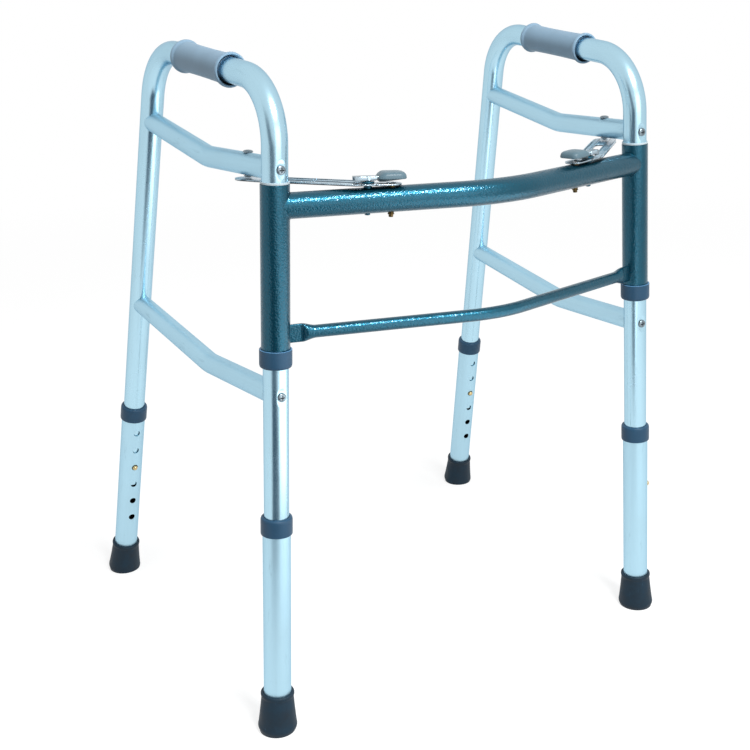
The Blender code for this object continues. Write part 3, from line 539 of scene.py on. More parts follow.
def combined(mesh, others, operation):
    """One mesh from an exact join or cut with each of the others in turn."""
    obj = placed_object("work", mesh)
    tools = [placed_object("work", other) for other in others]
    for tool in tools:
        modifier = obj.modifiers.new("step", "BOOLEAN")
        modifier.operation, modifier.solver, modifier.object = operation, "EXACT", tool
    result = evaluated(obj)
    for tool in tools:
        bpy.data.objects.remove(tool, do_unlink=True)
    return result


def softened_box(low, high, ease):
    """A box with small rounds along its edges."""
    low, high = Vector(low), Vector(high)
    bm = bmesh.new()
    placed = Matrix.Translation((low + high) / 2) @ Matrix.Diagonal((*(high - low), 1.0))
    bmesh.ops.create_cube(bm, size=1.0, matrix=placed)
    bmesh.ops.bevel(
        bm, geom=bm.edges[:], offset=ease, segments=3, profile=0.5, affect="EDGES"
    )
    return mesh_from(bm)


def arc(centre, radius, start, end, steps):
    angles = [math.radians(start + (end - start) * i / steps) for i in range(steps + 1)]
    return [(centre[0] + radius * math.cos(a), centre[1] + radius * math.sin(a)) for a in angles]


def pressed_plate(outlines, bottom, top, ease):
    """A plate between two heights, with holes where outlines lie inside the first."""
    curve = bpy.data.curves.new("outline", "CURVE")
    curve.dimensions, curve.fill_mode, curve.bevel_resolution = "2D", "BOTH", 2
    curve.extrude = (top - bottom) / 2 - ease
    curve.bevel_depth, curve.offset = ease, -ease
    for outline in outlines:
        spline = curve.splines.new("POLY")
        spline.points.add(len(outline) - 1)
        for target, (x, y) in zip(spline.points, outline):
            target.co = (x, y, 0.0, 1.0)
        spline.use_cyclic_u = True
    bm = merged_copy(evaluated(placed_object("plate", curve)), 1e-5)
    bpy.data.curves.remove(curve)
    bmesh.ops.translate(bm, vec=(0.0, 0.0, (top + bottom) / 2), verts=bm.verts)
    return mesh_from(bm)


# Node trees


class Nodes:
    """Adds nodes to a tree, and fills or links their inputs."""

    def node(self, kind, inputs=None, **settings):
        node = self.tree.nodes.new(kind)
        for name, value in settings.items():
            setattr(node, name, value)
        for name, value in (inputs or {}).items():
            if isinstance(value, bpy.types.NodeSocket):
                self.tree.links.new(value, node.inputs[name])
            else:
                node.inputs[name].default_value = value
        return node

    def result(self, kind, inputs=None, **settings):
        return self.node(kind, inputs, **settings).outputs[0]

    def math(self, operation, first, second=0.0):
        return self.result("ShaderNodeMath", {0: first, 1: second}, operation=operation)

    def span(self, value, low=0.0, high=1.0, to_low=0.0, to_high=1.0):
        inputs = {0: value, 1: low, 2: high, 3: to_low, 4: to_high}
        return self.result("ShaderNodeMapRange", inputs)

    def scaled(self, vector, scale):
        inputs = {0: vector, "Scale": scale}
        return self.result("ShaderNodeVectorMath", inputs, operation="SCALE")


class ShapeTree(Nodes):
    """A geometry node tree with named inputs, ending in one finish."""

    def __init__(self, name, **inputs):
        self.tree = bpy.data.node_groups.new(name, "GeometryNodeTree")
        socket = self.tree.interface.new_socket
        socket("Geometry", in_out="INPUT", socket_type="NodeSocketGeometry")
        for key, kind in {**inputs, "finish": "Material"}.items():
            label = key.replace("_", " ").capitalize()
            socket(label, in_out="INPUT", socket_type="NodeSocket" + kind)
        socket("Geometry", in_out="OUTPUT", socket_type="NodeSocketGeometry")
        self.inputs = self.node("NodeGroupInput").outputs

    def cut(self, body, tool):
        return self.result(
            "GeometryNodeMeshBoolean", {"Mesh 1": body, "Mesh 2": tool},
            operation="DIFFERENCE", solver="MANIFOLD",
        )

    def swept(self, line, **profile):
        ring = self.result(
            "GeometryNodeCurvePrimitiveCircle", {k.capitalize(): v for k, v in profile.items()}
        )
        inputs = {"Curve": line, "Profile Curve": ring, "Fill Caps": True}
        return self.result("GeometryNodeCurveToMesh", inputs)

    def row_of(self, instance):
        """Copies of a shape on a row of points a step apart."""
        given = self.inputs
        inputs = {k: given[v] for k, v in
                  (("Count", "Count"), ("Start Location", "Start"), ("Offset", "Step"))}
        line = self.result("GeometryNodeMeshLine", inputs, mode="OFFSET")
        inputs = {"Points": line, "Instance": instance, "Rotation": given["Turn"]}
        return self.result("GeometryNodeInstanceOnPoints", inputs)

    def end(self, geometry):
        real = self.result("GeometryNodeRealizeInstances", {"Geometry": geometry})
        inputs = {"Geometry": real, "Material": self.inputs["Finish"]}
        self.node("NodeGroupOutput", {"Geometry": self.result("GeometryNodeSetMaterial", inputs)})
        return self.tree


def bent_tube_tree():
    """Sweeps the path into a tube with a wall, open at both ends."""
    tree = ShapeTree("Bent tube", radius="Float", wall="Float", overrun="Float", sides="Int")
    given = tree.inputs
    path = tree.result("GeometryNodeMeshToCurve", {0: given["Geometry"]})
    tangent = tree.result("GeometryNodeInputTangent")
    longer = path
    for ends, sign in (((1, 0), -1.0), ((0, 1), 1.0)):
        chosen = tree.result("GeometryNodeCurveEndpointSelection", {0: ends[0], 1: ends[1]})
        offset = tree.scaled(tangent, tree.math("MULTIPLY", given["Overrun"], sign))
        inputs = {"Geometry": longer, "Selection": chosen, "Offset": offset}
        longer = tree.result("GeometryNodeSetPosition", inputs)
    bore = tree.math("SUBTRACT", given["Radius"], given["Wall"])
    solids = [
        tree.swept(line, resolution=given["Sides"], radius=radius)
        for line, radius in ((path, given["Radius"]), (longer, bore))
    ]
    return tree.end(tree.cut(*solids))


def hole_row_tree():
    """Drills a row of round holes a step apart."""
    tree = ShapeTree(
        "Row of holes", start="Vector", step="Vector", count="Int", hole_radius="Float",
        depth="Float", turn="Vector",
    )
    given = tree.inputs
    inputs = {"Vertices": 40, "Radius": given["Hole radius"], "Depth": given["Depth"]}
    drills = tree.row_of(tree.result("GeometryNodeMeshCylinder", inputs))
    real = tree.result("GeometryNodeRealizeInstances", {"Geometry": drills})
    return tree.end(tree.cut(given["Geometry"], real))


def copy_row_tree():
    """Sets copies of a fastener a step apart."""
    tree = ShapeTree(
        "Row of fasteners", start="Vector", step="Vector", count="Int", turn="Vector"
    )
    return tree.end(tree.row_of(tree.inputs["Geometry"]))


def coil_tree():
    """Winds a round wire into a coil about Z."""
    tree = ShapeTree(
        "Coil spring", coil_radius="Float", wire_radius="Float", height="Float", turns="Float"
    )
    given = tree.inputs
    spiral = tree.result(
        "GeometryNodeCurveSpiral",
        {"Resolution": 28, "Rotations": given["Turns"], "Start Radius": given["Coil radius"],
         "End Radius": given["Coil radius"], "Height": given["Height"]},
    )
    return tree.end(tree.swept(spiral, resolution=10, radius=given["Wire radius"]))


TREES = {
    "Bent tube": bent_tube_tree,
    "Row of holes": hole_row_tree,
    "Row of fasteners": copy_row_tree,
    "Coil spring": coil_tree,
}


def add_shape(obj, tree_name, finish, **values):
    """Adds a node tree to the object with its inputs set by their identifiers."""
    tree = bpy.data.node_groups.get(tree_name) or TREES[tree_name]()
    modifier = obj.modifiers.new(tree_name, "NODES")
    modifier.node_group = tree
    values["finish"] = finish_of(finish)
    for item in tree.interface.items_tree:
        if item.in_out == "INPUT" and item.name != "Geometry":
            modifier[item.identifier] = values[item.name.lower().replace(" ", "_")]


# Finishes


class Finish(Nodes):
    """A material's nodes round one shader, with small reliefs stacked up."""

    def __init__(self, name, colour, metallic, roughness, **sockets):
        self.material = bpy.data.materials.new(name)
        self.material.use_nodes = True
        self.tree = self.material.node_tree
        self.shader = self.tree.nodes["Principled BSDF"]
        self.colour = tuple(colour)
        self.normal = None
        self.material.diffuse_color = base = (*self.colour, 1.0)
        self.set(Base_Color=base, Metallic=metallic, Roughness=roughness, **sockets)

    def set(self, **sockets):
        for socket, value in sockets.items():
            target = self.shader.inputs[socket.replace("_", " ")]
            if isinstance(value, bpy.types.NodeSocket):
                self.tree.links.new(value, target)
            else:
                target.default_value = value

    def stored(self, name, output):
        return self.node("ShaderNodeAttribute", attribute_name=name).outputs[output]

    def place(self, scale=(1.0, 1.0, 1.0), along_tube=False):
        """The pattern's coordinates: the object's own, or along the drawn tube."""
        if along_tube:
            vector = self.stored(TUBE_RUN, "Vector")
        else:
            vector = self.node("ShaderNodeTexCoord").outputs["Object"]
        return self.result("ShaderNodeMapping", {"Vector": vector, "Scale": scale})

    def noise(self, place, scale, detail=3.0, rough=0.5):
        inputs = {"Vector": place, "Scale": scale, "Detail": detail, "Roughness": rough}
        return self.result("ShaderNodeTexNoise", inputs)

    def cells(self, place, scale, smooth):
        inputs = {"Vector": place, "Scale": scale, "Smoothness": smooth}
        return self.node("ShaderNodeTexVoronoi", inputs, feature="SMOOTH_F1").outputs["Distance"]

    def blend(self, first, first_to, second, second_to):
        """Two patterns added up, each from 0 to its own share."""
        spans = [self.span(v, 0.3, 0.7, 0.0, to) for v, to in
                 ((first, first_to), (second, second_to))]
        return self.math("ADD", *spans)

    def times(self, factor, extra=0.0):
        return tuple(min(1.0, c * factor + extra) for c in self.colour)

    def shades(self, share, dark, light):
        """The finish's colour from one shade of it to another."""
        return self.tinted(share, self.times(dark), self.times(light))

    def tinted(self, share, *colours):
        inputs = {0: share}
        for index, value in zip((6, 7), colours):
            inputs[index] = value if isinstance(value, bpy.types.NodeSocket) else (*value, 1.0)
        return self.node("ShaderNodeMix", inputs, data_type="RGBA").outputs[2]

    def shaded_and_lightened(self, base, dark, light):
        """The base, darkened where shade is painted and lightened where the mark is above 0."""
        touch = self.stored(SHADE_AND_LIGHT, "Fac")
        shaded = self.tinted(self.span(touch, 0.0, -1.0), base, self.times(dark))
        return self.tinted(self.span(touch), shaded, self.times(light, 0.04))

    def bump(self, height, strength, depth, **normal):
        inputs = {"Height": height, "Strength": strength, "Distance": depth, **normal}
        return self.result("ShaderNodeBump", inputs)

    def relief(self, height, strength, depth):
        under = {} if self.normal is None else {"Normal": self.normal}
        self.normal = self.bump(height, strength, depth, **under)
        self.set(Normal=self.normal)


def drawn_aluminium(colours, name, roughness, scuffs):
    """Clear anodised tube: draw lines along it, clouding and light rubbing."""
    finish = Finish(
        name, colours.aluminium, 1.0, roughness, Specular_Tint=(0.62, 0.70, 0.76, 1.0)
    )
    lines = finish.noise(finish.place((1.0, 1.0, 0.012), True), 900.0, 4.0, 0.7)
    clouds = finish.noise(finish.place(along_tube=True), 14.0, 4.0)
    rub = finish.noise(finish.place((1.0, 1.0, 0.16), True), 130.0, 6.0, 0.75)
    clean = finish.shades(finish.blend(clouds, 0.6, lines, 0.4), dark=0.93, light=1.03)
    worn = finish.math("MULTIPLY", finish.span(rub, 0.60, 0.70), scuffs)
    rubbed = finish.tinted(worn, clean, finish.times(0.72))
    clouded = finish.span(clouds, 0.3, 0.7, roughness - 0.04, roughness + 0.05)
    rough = finish.math("ADD", clouded, finish.math("MULTIPLY", worn, 0.3))
    # painted shade in the bore and on the walls of the holes, from the stored mark
    finish.set(Base_Color=finish.shaded_and_lightened(rubbed, dark=0.06, light=1.2), Roughness=rough)
    finish.relief(lines, strength=0.08, depth=0.04 * MM)
    finish.relief(rub, strength=0.10, depth=0.12 * MM)
    return finish.material


def hammered_paint(colours):
    """Stoved hammer paint: dimpled cells with a little metal in the colour."""
    finish = Finish(
        "Hammered paint", colours.paint, 0.8, 0.40, Specular_IOR_Level=0.12,
        Coat_Weight=0.45, Coat_Roughness=0.12,
    )
    inputs = {"Vector": finish.place(), "Scale": 260.0, "Detail": 2.0}
    warp = finish.node("ShaderNodeTexNoise", inputs).outputs["Color"]
    inputs = {0: finish.place(), 1: finish.scaled(warp, 1.4 * MM)}
    spot = finish.result("ShaderNodeVectorMath", inputs, operation="ADD")
    cells = finish.cells(spot, 540.0, 0.4)
    flakes = finish.noise(finish.place(), 2400.0, 2.0, 0.7)
    clouds = finish.noise(finish.place(), 22.0)
    share = finish.math("ADD", finish.span(cells, 0.1, 0.75, 0.65, 0.0),
                        finish.span(clouds, 0.3, 0.7, 0.0, 0.35))
    base = finish.shades(share, dark=0.86, light=1.16)
    glints = finish.tinted(finish.span(flakes, 0.64, 0.74, 0.0, 0.3), base, finish.times(2.0))
    finish.set(Base_Color=glints, Roughness=finish.span(cells, 0.1, 0.7, 0.27, 0.38))
    finish.relief(cells, strength=0.6, depth=0.3 * MM)
    finish.set(Coat_Normal=finish.bump(cells, 0.8, 0.4 * MM))
    return finish.material


def moulded(name, colour, roughness, grain, depth, mottle, **sockets):
    """Moulded plastic or vinyl: a fine grain and slow changes of shade."""
    finish = Finish(name, colour, 0.0, roughness, **sockets)
    clouds = finish.noise(finish.place(), 35.0, 4.0)
    fine = finish.noise(finish.place(), grain, 3.0, 0.6)
    pits = finish.cells(finish.place(), grain * 0.8, 0.3)
    share = finish.blend(clouds, 0.6, fine, 0.4)
    base = finish.shades(share, dark=1.0 - mottle, light=1.0 + mottle * 0.7)
    rough = finish.span(fine, 0.3, 0.7, roughness - 0.06, roughness + 0.07)
    # painted shade where the stored mark is below 0, a lighter colour where it is above 0
    finish.set(Base_Color=finish.shaded_and_lightened(base, dark=0.06, light=3.2), Roughness=rough)
    finish.relief(pits, strength=0.35, depth=depth)
    finish.relief(fine, strength=0.25, depth=depth)
    return finish.material


def tip_rubber(colours):
    """Moulded rubber with pale streaks of dust and scratches."""
    finish = Finish("Tip rubber", colours.rubber, 0.0, 0.5, Specular_IOR_Level=0.3)
    clouds = finish.noise(finish.place(), 60.0, 5.0, 0.6)
    fine = finish.noise(finish.place(), 1500.0)
    streaks = finish.noise(finish.place((1.0, 1.0, 0.10)), 420.0, 5.0, 0.8)
    base = finish.shades(finish.span(clouds, 0.3, 0.7), dark=0.75, light=1.5)
    dust = finish.math(
        "MULTIPLY", finish.span(streaks, 0.60, 0.74), finish.span(clouds, 0.45, 0.7)
    )
    dusty = finish.tinted(finish.math("MULTIPLY", dust, 0.7), base, finish.times(6.0, 0.02))
    finish.set(Base_Color=dusty, Roughness=finish.span(clouds, 0.3, 0.7, 0.48, 0.66))
    finish.relief(streaks, strength=0.2, depth=0.1 * MM)
    finish.relief(fine, strength=0.3, depth=0.05 * MM)
    return finish.material


def plated(name, colour, roughness, blotch, tint=None, lines=()):
    """Plated steel: soft spangle, small scratches and a tint that drifts."""
    finish = Finish(name, colour, 1.0, roughness)
    spangle = finish.cells(finish.place(), 700.0, 0.8)
    clouds = finish.noise(finish.place(), 120.0, 4.0, 0.6)
    scratches = finish.noise(finish.place((1.0, 0.12, 1.0)), 1400.0, 4.0, 0.7)
    share = finish.span(clouds, 0.3, 0.7)
    base = finish.shades(share, dark=1.0 - blotch, light=1.0 + blotch * 0.6)
    if tint is not None:
        base = finish.tinted(finish.span(clouds, 0.45, 0.72, 0.0, 0.55), base, tint)
    if lines:
        local = {0: finish.stored(TUBE_RUN, "Vector")}
        across = finish.node("ShaderNodeSeparateXYZ", local).outputs[1]
    # painted shade: dark lines at the given places across the piece, along the link's ribs
    for centre in lines:
        gap = finish.math("ABSOLUTE", finish.math("SUBTRACT", across, centre))
        share = finish.span(gap, 0.25 * MM, 0.75 * MM, 0.85, 0.0)
        base = finish.tinted(share, base, finish.times(0.12))
    clouded = finish.span(clouds, 0.3, 0.7, roughness - 0.05, roughness + 0.08)
    rough = finish.math("ADD", clouded, finish.span(spangle, 0.0, 0.6, 0.0, 0.05))
    # painted shade where the stored mark is below 0: link underside, lever tail and ears, screw
    # recesses
    finish.set(Base_Color=finish.shaded_and_lightened(base, dark=0.05, light=1.25), Roughness=rough)
    finish.relief(scratches, strength=0.12, depth=0.03 * MM)
    finish.relief(spangle, strength=0.10, depth=0.04 * MM)
    return finish.material


# for each finish: how it is made, its name and its values
FINISHES = {
    "aluminium": lambda c: drawn_aluminium(c, "Drawn aluminium", roughness=0.25, scuffs=0.25),
    "leg_aluminium": lambda c: drawn_aluminium(
        c, "Matt leg aluminium", roughness=0.42, scuffs=0.5
    ),
    "paint": hammered_paint,
    "vinyl": lambda c: moulded(
        "Grip vinyl", c.vinyl, roughness=0.50, grain=1500.0, depth=0.12 * MM, mottle=0.10,
        Specular_IOR_Level=0.3,
    ),
    "collar": lambda c: moulded(
        "Collar nylon", c.collar, roughness=0.42, grain=2200.0, depth=0.06 * MM, mottle=0.16,
        Specular_IOR_Level=0.3,
    ),
    "rubber": tip_rubber,
    "zinc": lambda c: plated("Bright zinc", c.zinc, roughness=0.27, blotch=0.10),
    "link_zinc": lambda c: plated(
        "Ribbed zinc with painted shade", c.zinc, roughness=0.24, blotch=0.12, lines=LINK_SHADE_LINES
    ),
    # the zinc painted darker as shade, for the screws and the link bolts
    "dark_zinc": lambda c: plated(
        "Zinc with painted shade", [0.45 * value for value in c.zinc], roughness=0.24, blotch=0.2
    ),
    "gold_zinc": lambda c: plated(
        "Gold zinc", c.gold_zinc, roughness=0.25, blotch=0.18, tint=(0.34, 0.22, 0.10)
    ),
    "brass": lambda c: plated("Button brass", c.brass, roughness=0.24, blotch=0.12),
    "spring_steel": lambda c: plated(
        "Spring steel", c.spring_steel, roughness=0.3, blotch=0.15
    ),
    "paddle_plastic": lambda c: moulded(
        "Paddle plastic", c.paddle, roughness=0.38, grain=1800.0, depth=0.05 * MM, mottle=0.14,
        Specular_IOR_Level=0.35,
    ),
    "washer_nylon": lambda c: moulded(
        "Washer nylon", c.nylon, roughness=0.45, grain=1600.0, depth=0.05 * MM, mottle=0.08
    ),
}
MADE_FINISHES = {}


def finish_of(name):
    """The named finish, made the first time that it is asked for."""
    if name not in MADE_FINISHES:
        MADE_FINISHES[name] = FINISHES[name](bpy.context.scene.walker_colours)
    return MADE_FINISHES[name]


# Coordinates of the side frames


def side_matrix(side):
    """From one side frame's coordinates to the walker's; side is -1 left, +1 right."""
    matrix = shift(side * FLOOR_HALF, FRONT_LEG_Y) @ rotation(-side * SPLAY, "Z")
    matrix = matrix @ rotation(-side * LEAN, "Y")
    return matrix @ Matrix.Diagonal((-1.0, 1.0, 1.0, 1.0)) if side > 0 else matrix


def frame_point(back, up):
    return Vector((0.0, back, up))


def rail_matrix():
    """Lays Z along the handle rail, to the rear, from the point above the leg."""
    return shift(z=RAIL_H) @ rotation(math.atan(RAIL_RISE) - QUARTER, "X")


def leg_matrix(leg):
    """Stands Z up a leg from its foot; -Y is to the front."""
    if leg == "rear":
        return shift(y=REAR_FOOT) @ rotation(math.atan(REAR_RAKE), "X")
    return Matrix.Identity(4)


def button_turn(leg, side):
    """Turns -Y of a leg to the way its snap button faces."""
    if leg == "rear":
        return Matrix.Identity(4)
    return rotation(FRONT_BUTTON_FACES[side] - 1.5 * math.pi, "Z")


def each_leg():
    """Each leg, as side, leg, the start of its names and its matrix."""
    for side, name in SIDES:
        for leg in BUTTON_UP:
            yield side, leg, f"{name}_{leg}", side_matrix(side) @ leg_matrix(leg)


def along_bar(distance, height=0.0):
    return Vector((distance * math.cos(BAR_TURN), distance * math.sin(BAR_TURN), height))


def bar_height(along):
    """Height of the crossbar's axis in side frame coordinates, which lean."""
    inboard = along * math.cos(BAR_TURN)
    return (BAR_H + inboard * math.sin(LEAN)) / math.cos(LEAN)


def latch_matrix(along, height=0.0):
    """Lays X inboard along the crossbar, with Z square to the swing."""
    return Matrix.Translation(along_bar(along, height)) @ rotation(BAR_TURN, "Z")


def link_angle():
    pin = along_bar(PIN_ALONG)
    return math.atan2(pin.y - BOLT_BACK, pin.x)


def link_matrix():
    return shift(y=BOLT_BACK, z=LINK_BOTTOM) @ rotation(link_angle(), "Z")


def brace_top_at(back):
    height, bend, _rear = BRACES["upper"]
    return height + (bend[1] - height) / bend[0] * back + BRACE_R


def finished_piece(name, mesh, finish, *nodes, place=None):
    """Makes the mesh a piece that stands for its nodes and rides on their body."""
    if place is not None:
        transformed(mesh, place)
    mesh.name = name
    mesh.materials.clear()
    mesh.materials.append(finish_of(finish))
    mesh.shade_smooth()
    mesh.set_sharp_from_angle(angle=SHARP)
    piece = placed_object(name, mesh)
    missing = [node for node in nodes if node not in frame["nodes"]]
    if missing:
        raise RuntimeError(f"the frame has no {', '.join(missing)}")
    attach(piece, frame["nodes"][nodes[0]]["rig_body"])
    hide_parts(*nodes)
    return piece


def closes_up(piece):
    """Gives a spring piece its own copy of its mesh."""
    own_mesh(piece)


# Side frames


def drawn_tube(path, radius, wall, finish, sizes):
    """A work object that becomes a tube round the path."""
    obj = placed_object("work", wire_mesh(path))
    add_shape(
        obj, "Bent tube", finish, radius=radius, wall=wall, overrun=BORE_OVERRUN,
        sides=sizes.tube_sides,
    )
    return obj


def drill_row(obj, finish, matrix, depth, **row):
    """Drills a row of holes from the front of a leg inwards."""
    drill = matrix @ rotation(QUARTER, "X")
    add_shape(
        obj, "Row of holes", finish, start=tuple(drill.translation), depth=depth,
        turn=tuple(drill.to_euler()), **row,
    )


def side_tube(side, sizes):
    """The bent tube, drilled for its snap buttons and dished at the screws."""
    corner = (REAR_FOOT - REAR_RAKE * RAIL_H) / (1.0 + REAR_RAKE * RAIL_RISE)
    corners = [
        frame_point(0.0, BUTTON_UP["front"] - TUBE_BELOW_BUTTON),
        frame_point(0.0, RAIL_H),
        frame_point(corner, RAIL_H + RAIL_RISE * corner),
        leg_matrix("rear") @ frame_point(0.0, BUTTON_UP["rear"] - TUBE_BELOW_BUTTON),
    ]
    screws = [frame_point(0.0, height) for height in (UPPER_BRACE_H, LOWER_BRACE_H)]
    holes = [leg_matrix(leg) @ frame_point(0.0, up) for leg, up in BUTTON_UP.items()]
    path = rounded_path(corners, BEND_R, steps=20)
    path = with_stations(path, screws, reach=13 * MM, pitch=0.9 * MM)
    path = with_stations(path, holes, reach=6 * MM, pitch=1.2 * MM)
    obj = drawn_tube(path, UPPER_R, UPPER_WALL, "aluminium", sizes)
    for leg, up in BUTTON_UP.items():
        drill = leg_matrix(leg) @ button_turn(leg, side) @ shift(y=-UPPER_R, z=up)
        drill_row(
            obj, "aluminium", drill, UPPER_R, step=(0.0, 0.0, 0.0), count=1,
            hole_radius=sizes.hole_radius - 0.3 * MM,
        )
    mesh = shade_bore(mark_run(evaluated(obj), path, ACROSS), UPPER_R)
    for screw in screws:
        dish(mesh, screw.z, sizes.dimple_depth)
    return mesh


def dish(mesh, height, depth):
    """Presses a round seat into the front of the leg at a height."""
    reach, seat, blend, slope = 14.0 * MM, 5.0 * MM, 0.35 * MM, 45.0
    co = coordinates(mesh)
    away = np.hypot(co[:, 0], co[:, 2] - height)
    from_axis = np.hypot(co[:, 0], co[:, 1])
    near = (away < reach) & (co[:, 1] < 0.0) & (from_axis < reach)
    outer = from_axis > UPPER_R - UPPER_WALL / 2
    for shell, radius in ((near & outer, UPPER_R), (near & ~outer, UPPER_R - UPPER_WALL)):
        out = -co[shell, 1]
        limit = radius - depth + slope * np.clip(away[shell] - seat, 0.0, None) ** 2
        mix = np.clip(0.5 + 0.5 * (limit - out) / blend, 0.0, 1.0)
        co[shell, 1] = -(limit * (1 - mix) + out * mix - blend * mix * (1 - mix))
    mesh.vertices.foreach_set("co", co.ravel())
    mesh.update()


def meet_leg(ring, on, foot, up, radius, far):
    """Slides each point of a ring along a direction until it meets a leg's surface."""
    moved = []
    for point in ring:
        across = (point - foot) - up * (point - foot).dot(up)
        way = on - up * on.dot(up)
        a, b = way.length_squared, across.dot(way)
        root = math.sqrt(max(b * b - a * (across.length_squared - radius ** 2), 0.0))
        moved.append(point + on * ((root if far else -root) - b) / a)
    return moved


def side_brace(front_height, bend, rear_height, sides):
    """A bent brace, its two ends notched to sit round the legs."""
    rear = frame_point(REAR_FOOT - REAR_RAKE * rear_height, rear_height)
    corners = [frame_point(0.0, front_height), frame_point(*bend), rear]
    path = rounded_path(corners, BRACE_BEND_R, steps=14)
    first, last = (path[1] - path[0]).normalized(), (path[-1] - path[-2]).normalized()
    near, far = 17 * MM, 22 * MM
    path[1:1] = [path[0] + first * reach for reach in (near, far)]
    path[-1:-1] = [path[-1] - last * reach for reach in (far, near)]
    outer, inner = tube_rings(frames_along(path, ACROSS), BRACE_R, BRACE_WALL, sides)
    rear_leg = leg_matrix("rear")
    legs = (
        (0, first, Vector((0.0, 0.0, 0.0)), UPRIGHT, True),
        (-1, last, rear_leg.translation, rear_leg.col[2].to_3d(), False),
    )
    for end, on, foot, up, beyond in legs:
        for rings in (outer, inner):
            rings[end] = meet_leg(rings[end], on, foot, up, UPPER_R + 0.08 * MM, beyond)
    return mark_run(skin(outer + inner[::-1], loop=True), path, ACROSS)


class WALKER_OT_side_tubes(bpy.types.Operator):
    """Make the bent tube of each side frame"""

    bl_idname = "walker.side_tubes"
    bl_label = "Side Tubes"

    def execute(self, context):
        for side, name in SIDES:
            finished_piece(
                f"{name}_handle_and_legs", side_tube(side, context.scene.walker_sizes),
                "aluminium", f"{name}_side_tube", place=side_matrix(side),
            )
        return {"FINISHED"}


class WALKER_OT_side_braces(bpy.types.Operator):
    """Make the upper and lower brace of each side frame"""

    bl_idname = "walker.side_braces"
    bl_label = "Side Braces"

    def execute(self, context):
        sides = context.scene.walker_sizes.tube_sides
        for side, name in SIDES:
            for which, line in BRACES.items():
                node = f"{name}_{which}_brace"
                finished_piece(
                    f"{node}_tube", side_brace(*line, sides), "leg_aluminium", node,
                    place=side_matrix(side),
                )
        return {"FINISHED"}


def grip(sizes):
    """The vinyl grip: waisted, with a rolled bead at each end."""
    scale = math.hypot(1.0, RAIL_RISE)
    start, end = GRIP_FROM * scale, GRIP_TO * scale
    bore = UPPER_R + 0.1 * MM
    bead, body = sizes.grip_flange_radius, sizes.grip_radius
    bead_reach, swell, steps = 9 * MM, 0.5 * MM, 14
    corners = [(bore, start + 2.0 * MM, 0.0)] + bead_corners(start, 1.0, bead, body)
    for step in range(1, steps):
        share = step / steps
        height = start + bead_reach + (end - start - 2 * bead_reach) * share
        corners.append((body + swell * (2 * share - 1) ** 2, height, 0.0))
    corners += bead_corners(end, -1.0, bead, body)[::-1] + [(bore, end - 2.0 * MM, 0.0)]
    down = (rail_matrix().to_3x3().inverted() @ -UPRIGHT).xy.to_3d()

    def shaded(co):
        """Painted shadow in the lower part of each mouth."""
        inside = math.hypot(co.x, co.y) < bead - 2.5 * MM
        mouth = min(co.z - start, end - co.z) < bead_reach + 0.5 * MM
        return -min(max(0.07 * co.dot(down) / MM, 0.0), 1.0) if inside and mouth else 0.0

    mesh = mark_shade_and_light(turned(corners, loop=True), shaded)
    return transformed(mesh, rail_matrix())


# the rolled bead at one end of a grip, from its mouth to the waist:
# (from the bead's or the body's radius, in from the end, ease)
BEAD = (
    ("bead", -4.2, 8.0, 1.5), ("bead", -2.9, 1.6, 0.8), ("bead", -2.2, 0.1, 0.4),
    ("bead", -0.9, 0.0, 0.8), ("bead", 0.0, 2.0, 1.2), ("bead", 0.0, 3.4, 1.2),
    ("bead", -0.9, 5.0, 1.0), ("body", 0.7, 6.2, 1.2), ("body", 0.45, 9.0, 1.0),
)


def bead_corners(edge, sign, bead, body):
    radii = {"bead": bead, "body": body}
    return [(radii[of] + out * MM, edge + sign * on * MM, ease * MM) for of, out, on, ease in BEAD]


class WALKER_OT_grips(bpy.types.Operator):
    """Make the two hand grips"""

    bl_idname = "walker.grips"
    bl_label = "Hand Grips"

    def execute(self, context):
        for side, name in SIDES:
            finished_piece(
                f"{name}_hand_grip", grip(context.scene.walker_sizes), "vinyl",
                f"{name}_grip", place=side_matrix(side),
            )
        return {"FINISHED"}


# Legs


def leg_extension(leg, side, sizes):
    """The outer leg tube with its row of adjusting holes."""
    heights = [
        BUTTON_UP[leg] + step * sizes.hole_pitch for step in range(-HOLES_BELOW, HOLES_ABOVE + 1)
    ]
    top = COLLAR_TOP[leg] - COLLAR_LIP - RUNNING_GAP
    ends = [frame_point(0.0, LEG_END), frame_point(0.0, top)]
    holes = [frame_point(0.0, height) for height in heights]
    path = with_stations(ends, holes, reach=5.2 * MM, pitch=0.9 * MM)
    obj = drawn_tube(path, LOWER_R, LOWER_WALL, "leg_aluminium", sizes)
    drill_row(
        obj, "leg_aluminium", button_turn(leg, side) @ shift(y=-LOWER_R, z=heights[0]), LOWER_R,
        step=(0.0, 0.0, sizes.hole_pitch), count=len(heights), hole_radius=sizes.hole_radius,
    )
    return shade_bore(mark_run(evaluated(obj), path, ACROSS), LOWER_R)


class WALKER_OT_leg_extensions(bpy.types.Operator):
    """Make the four sliding legs with their adjusting holes"""

    bl_idname = "walker.leg_extensions"
    bl_label = "Sliding Legs"

    def execute(self, context):
        for side, leg, name, matrix in each_leg():
            mesh = leg_extension(leg, side, context.scene.walker_sizes)
            finished_piece(
                f"{name}_sliding_leg", mesh, "leg_aluminium", f"{name}_leg", place=matrix
            )
        return {"FINISHED"}


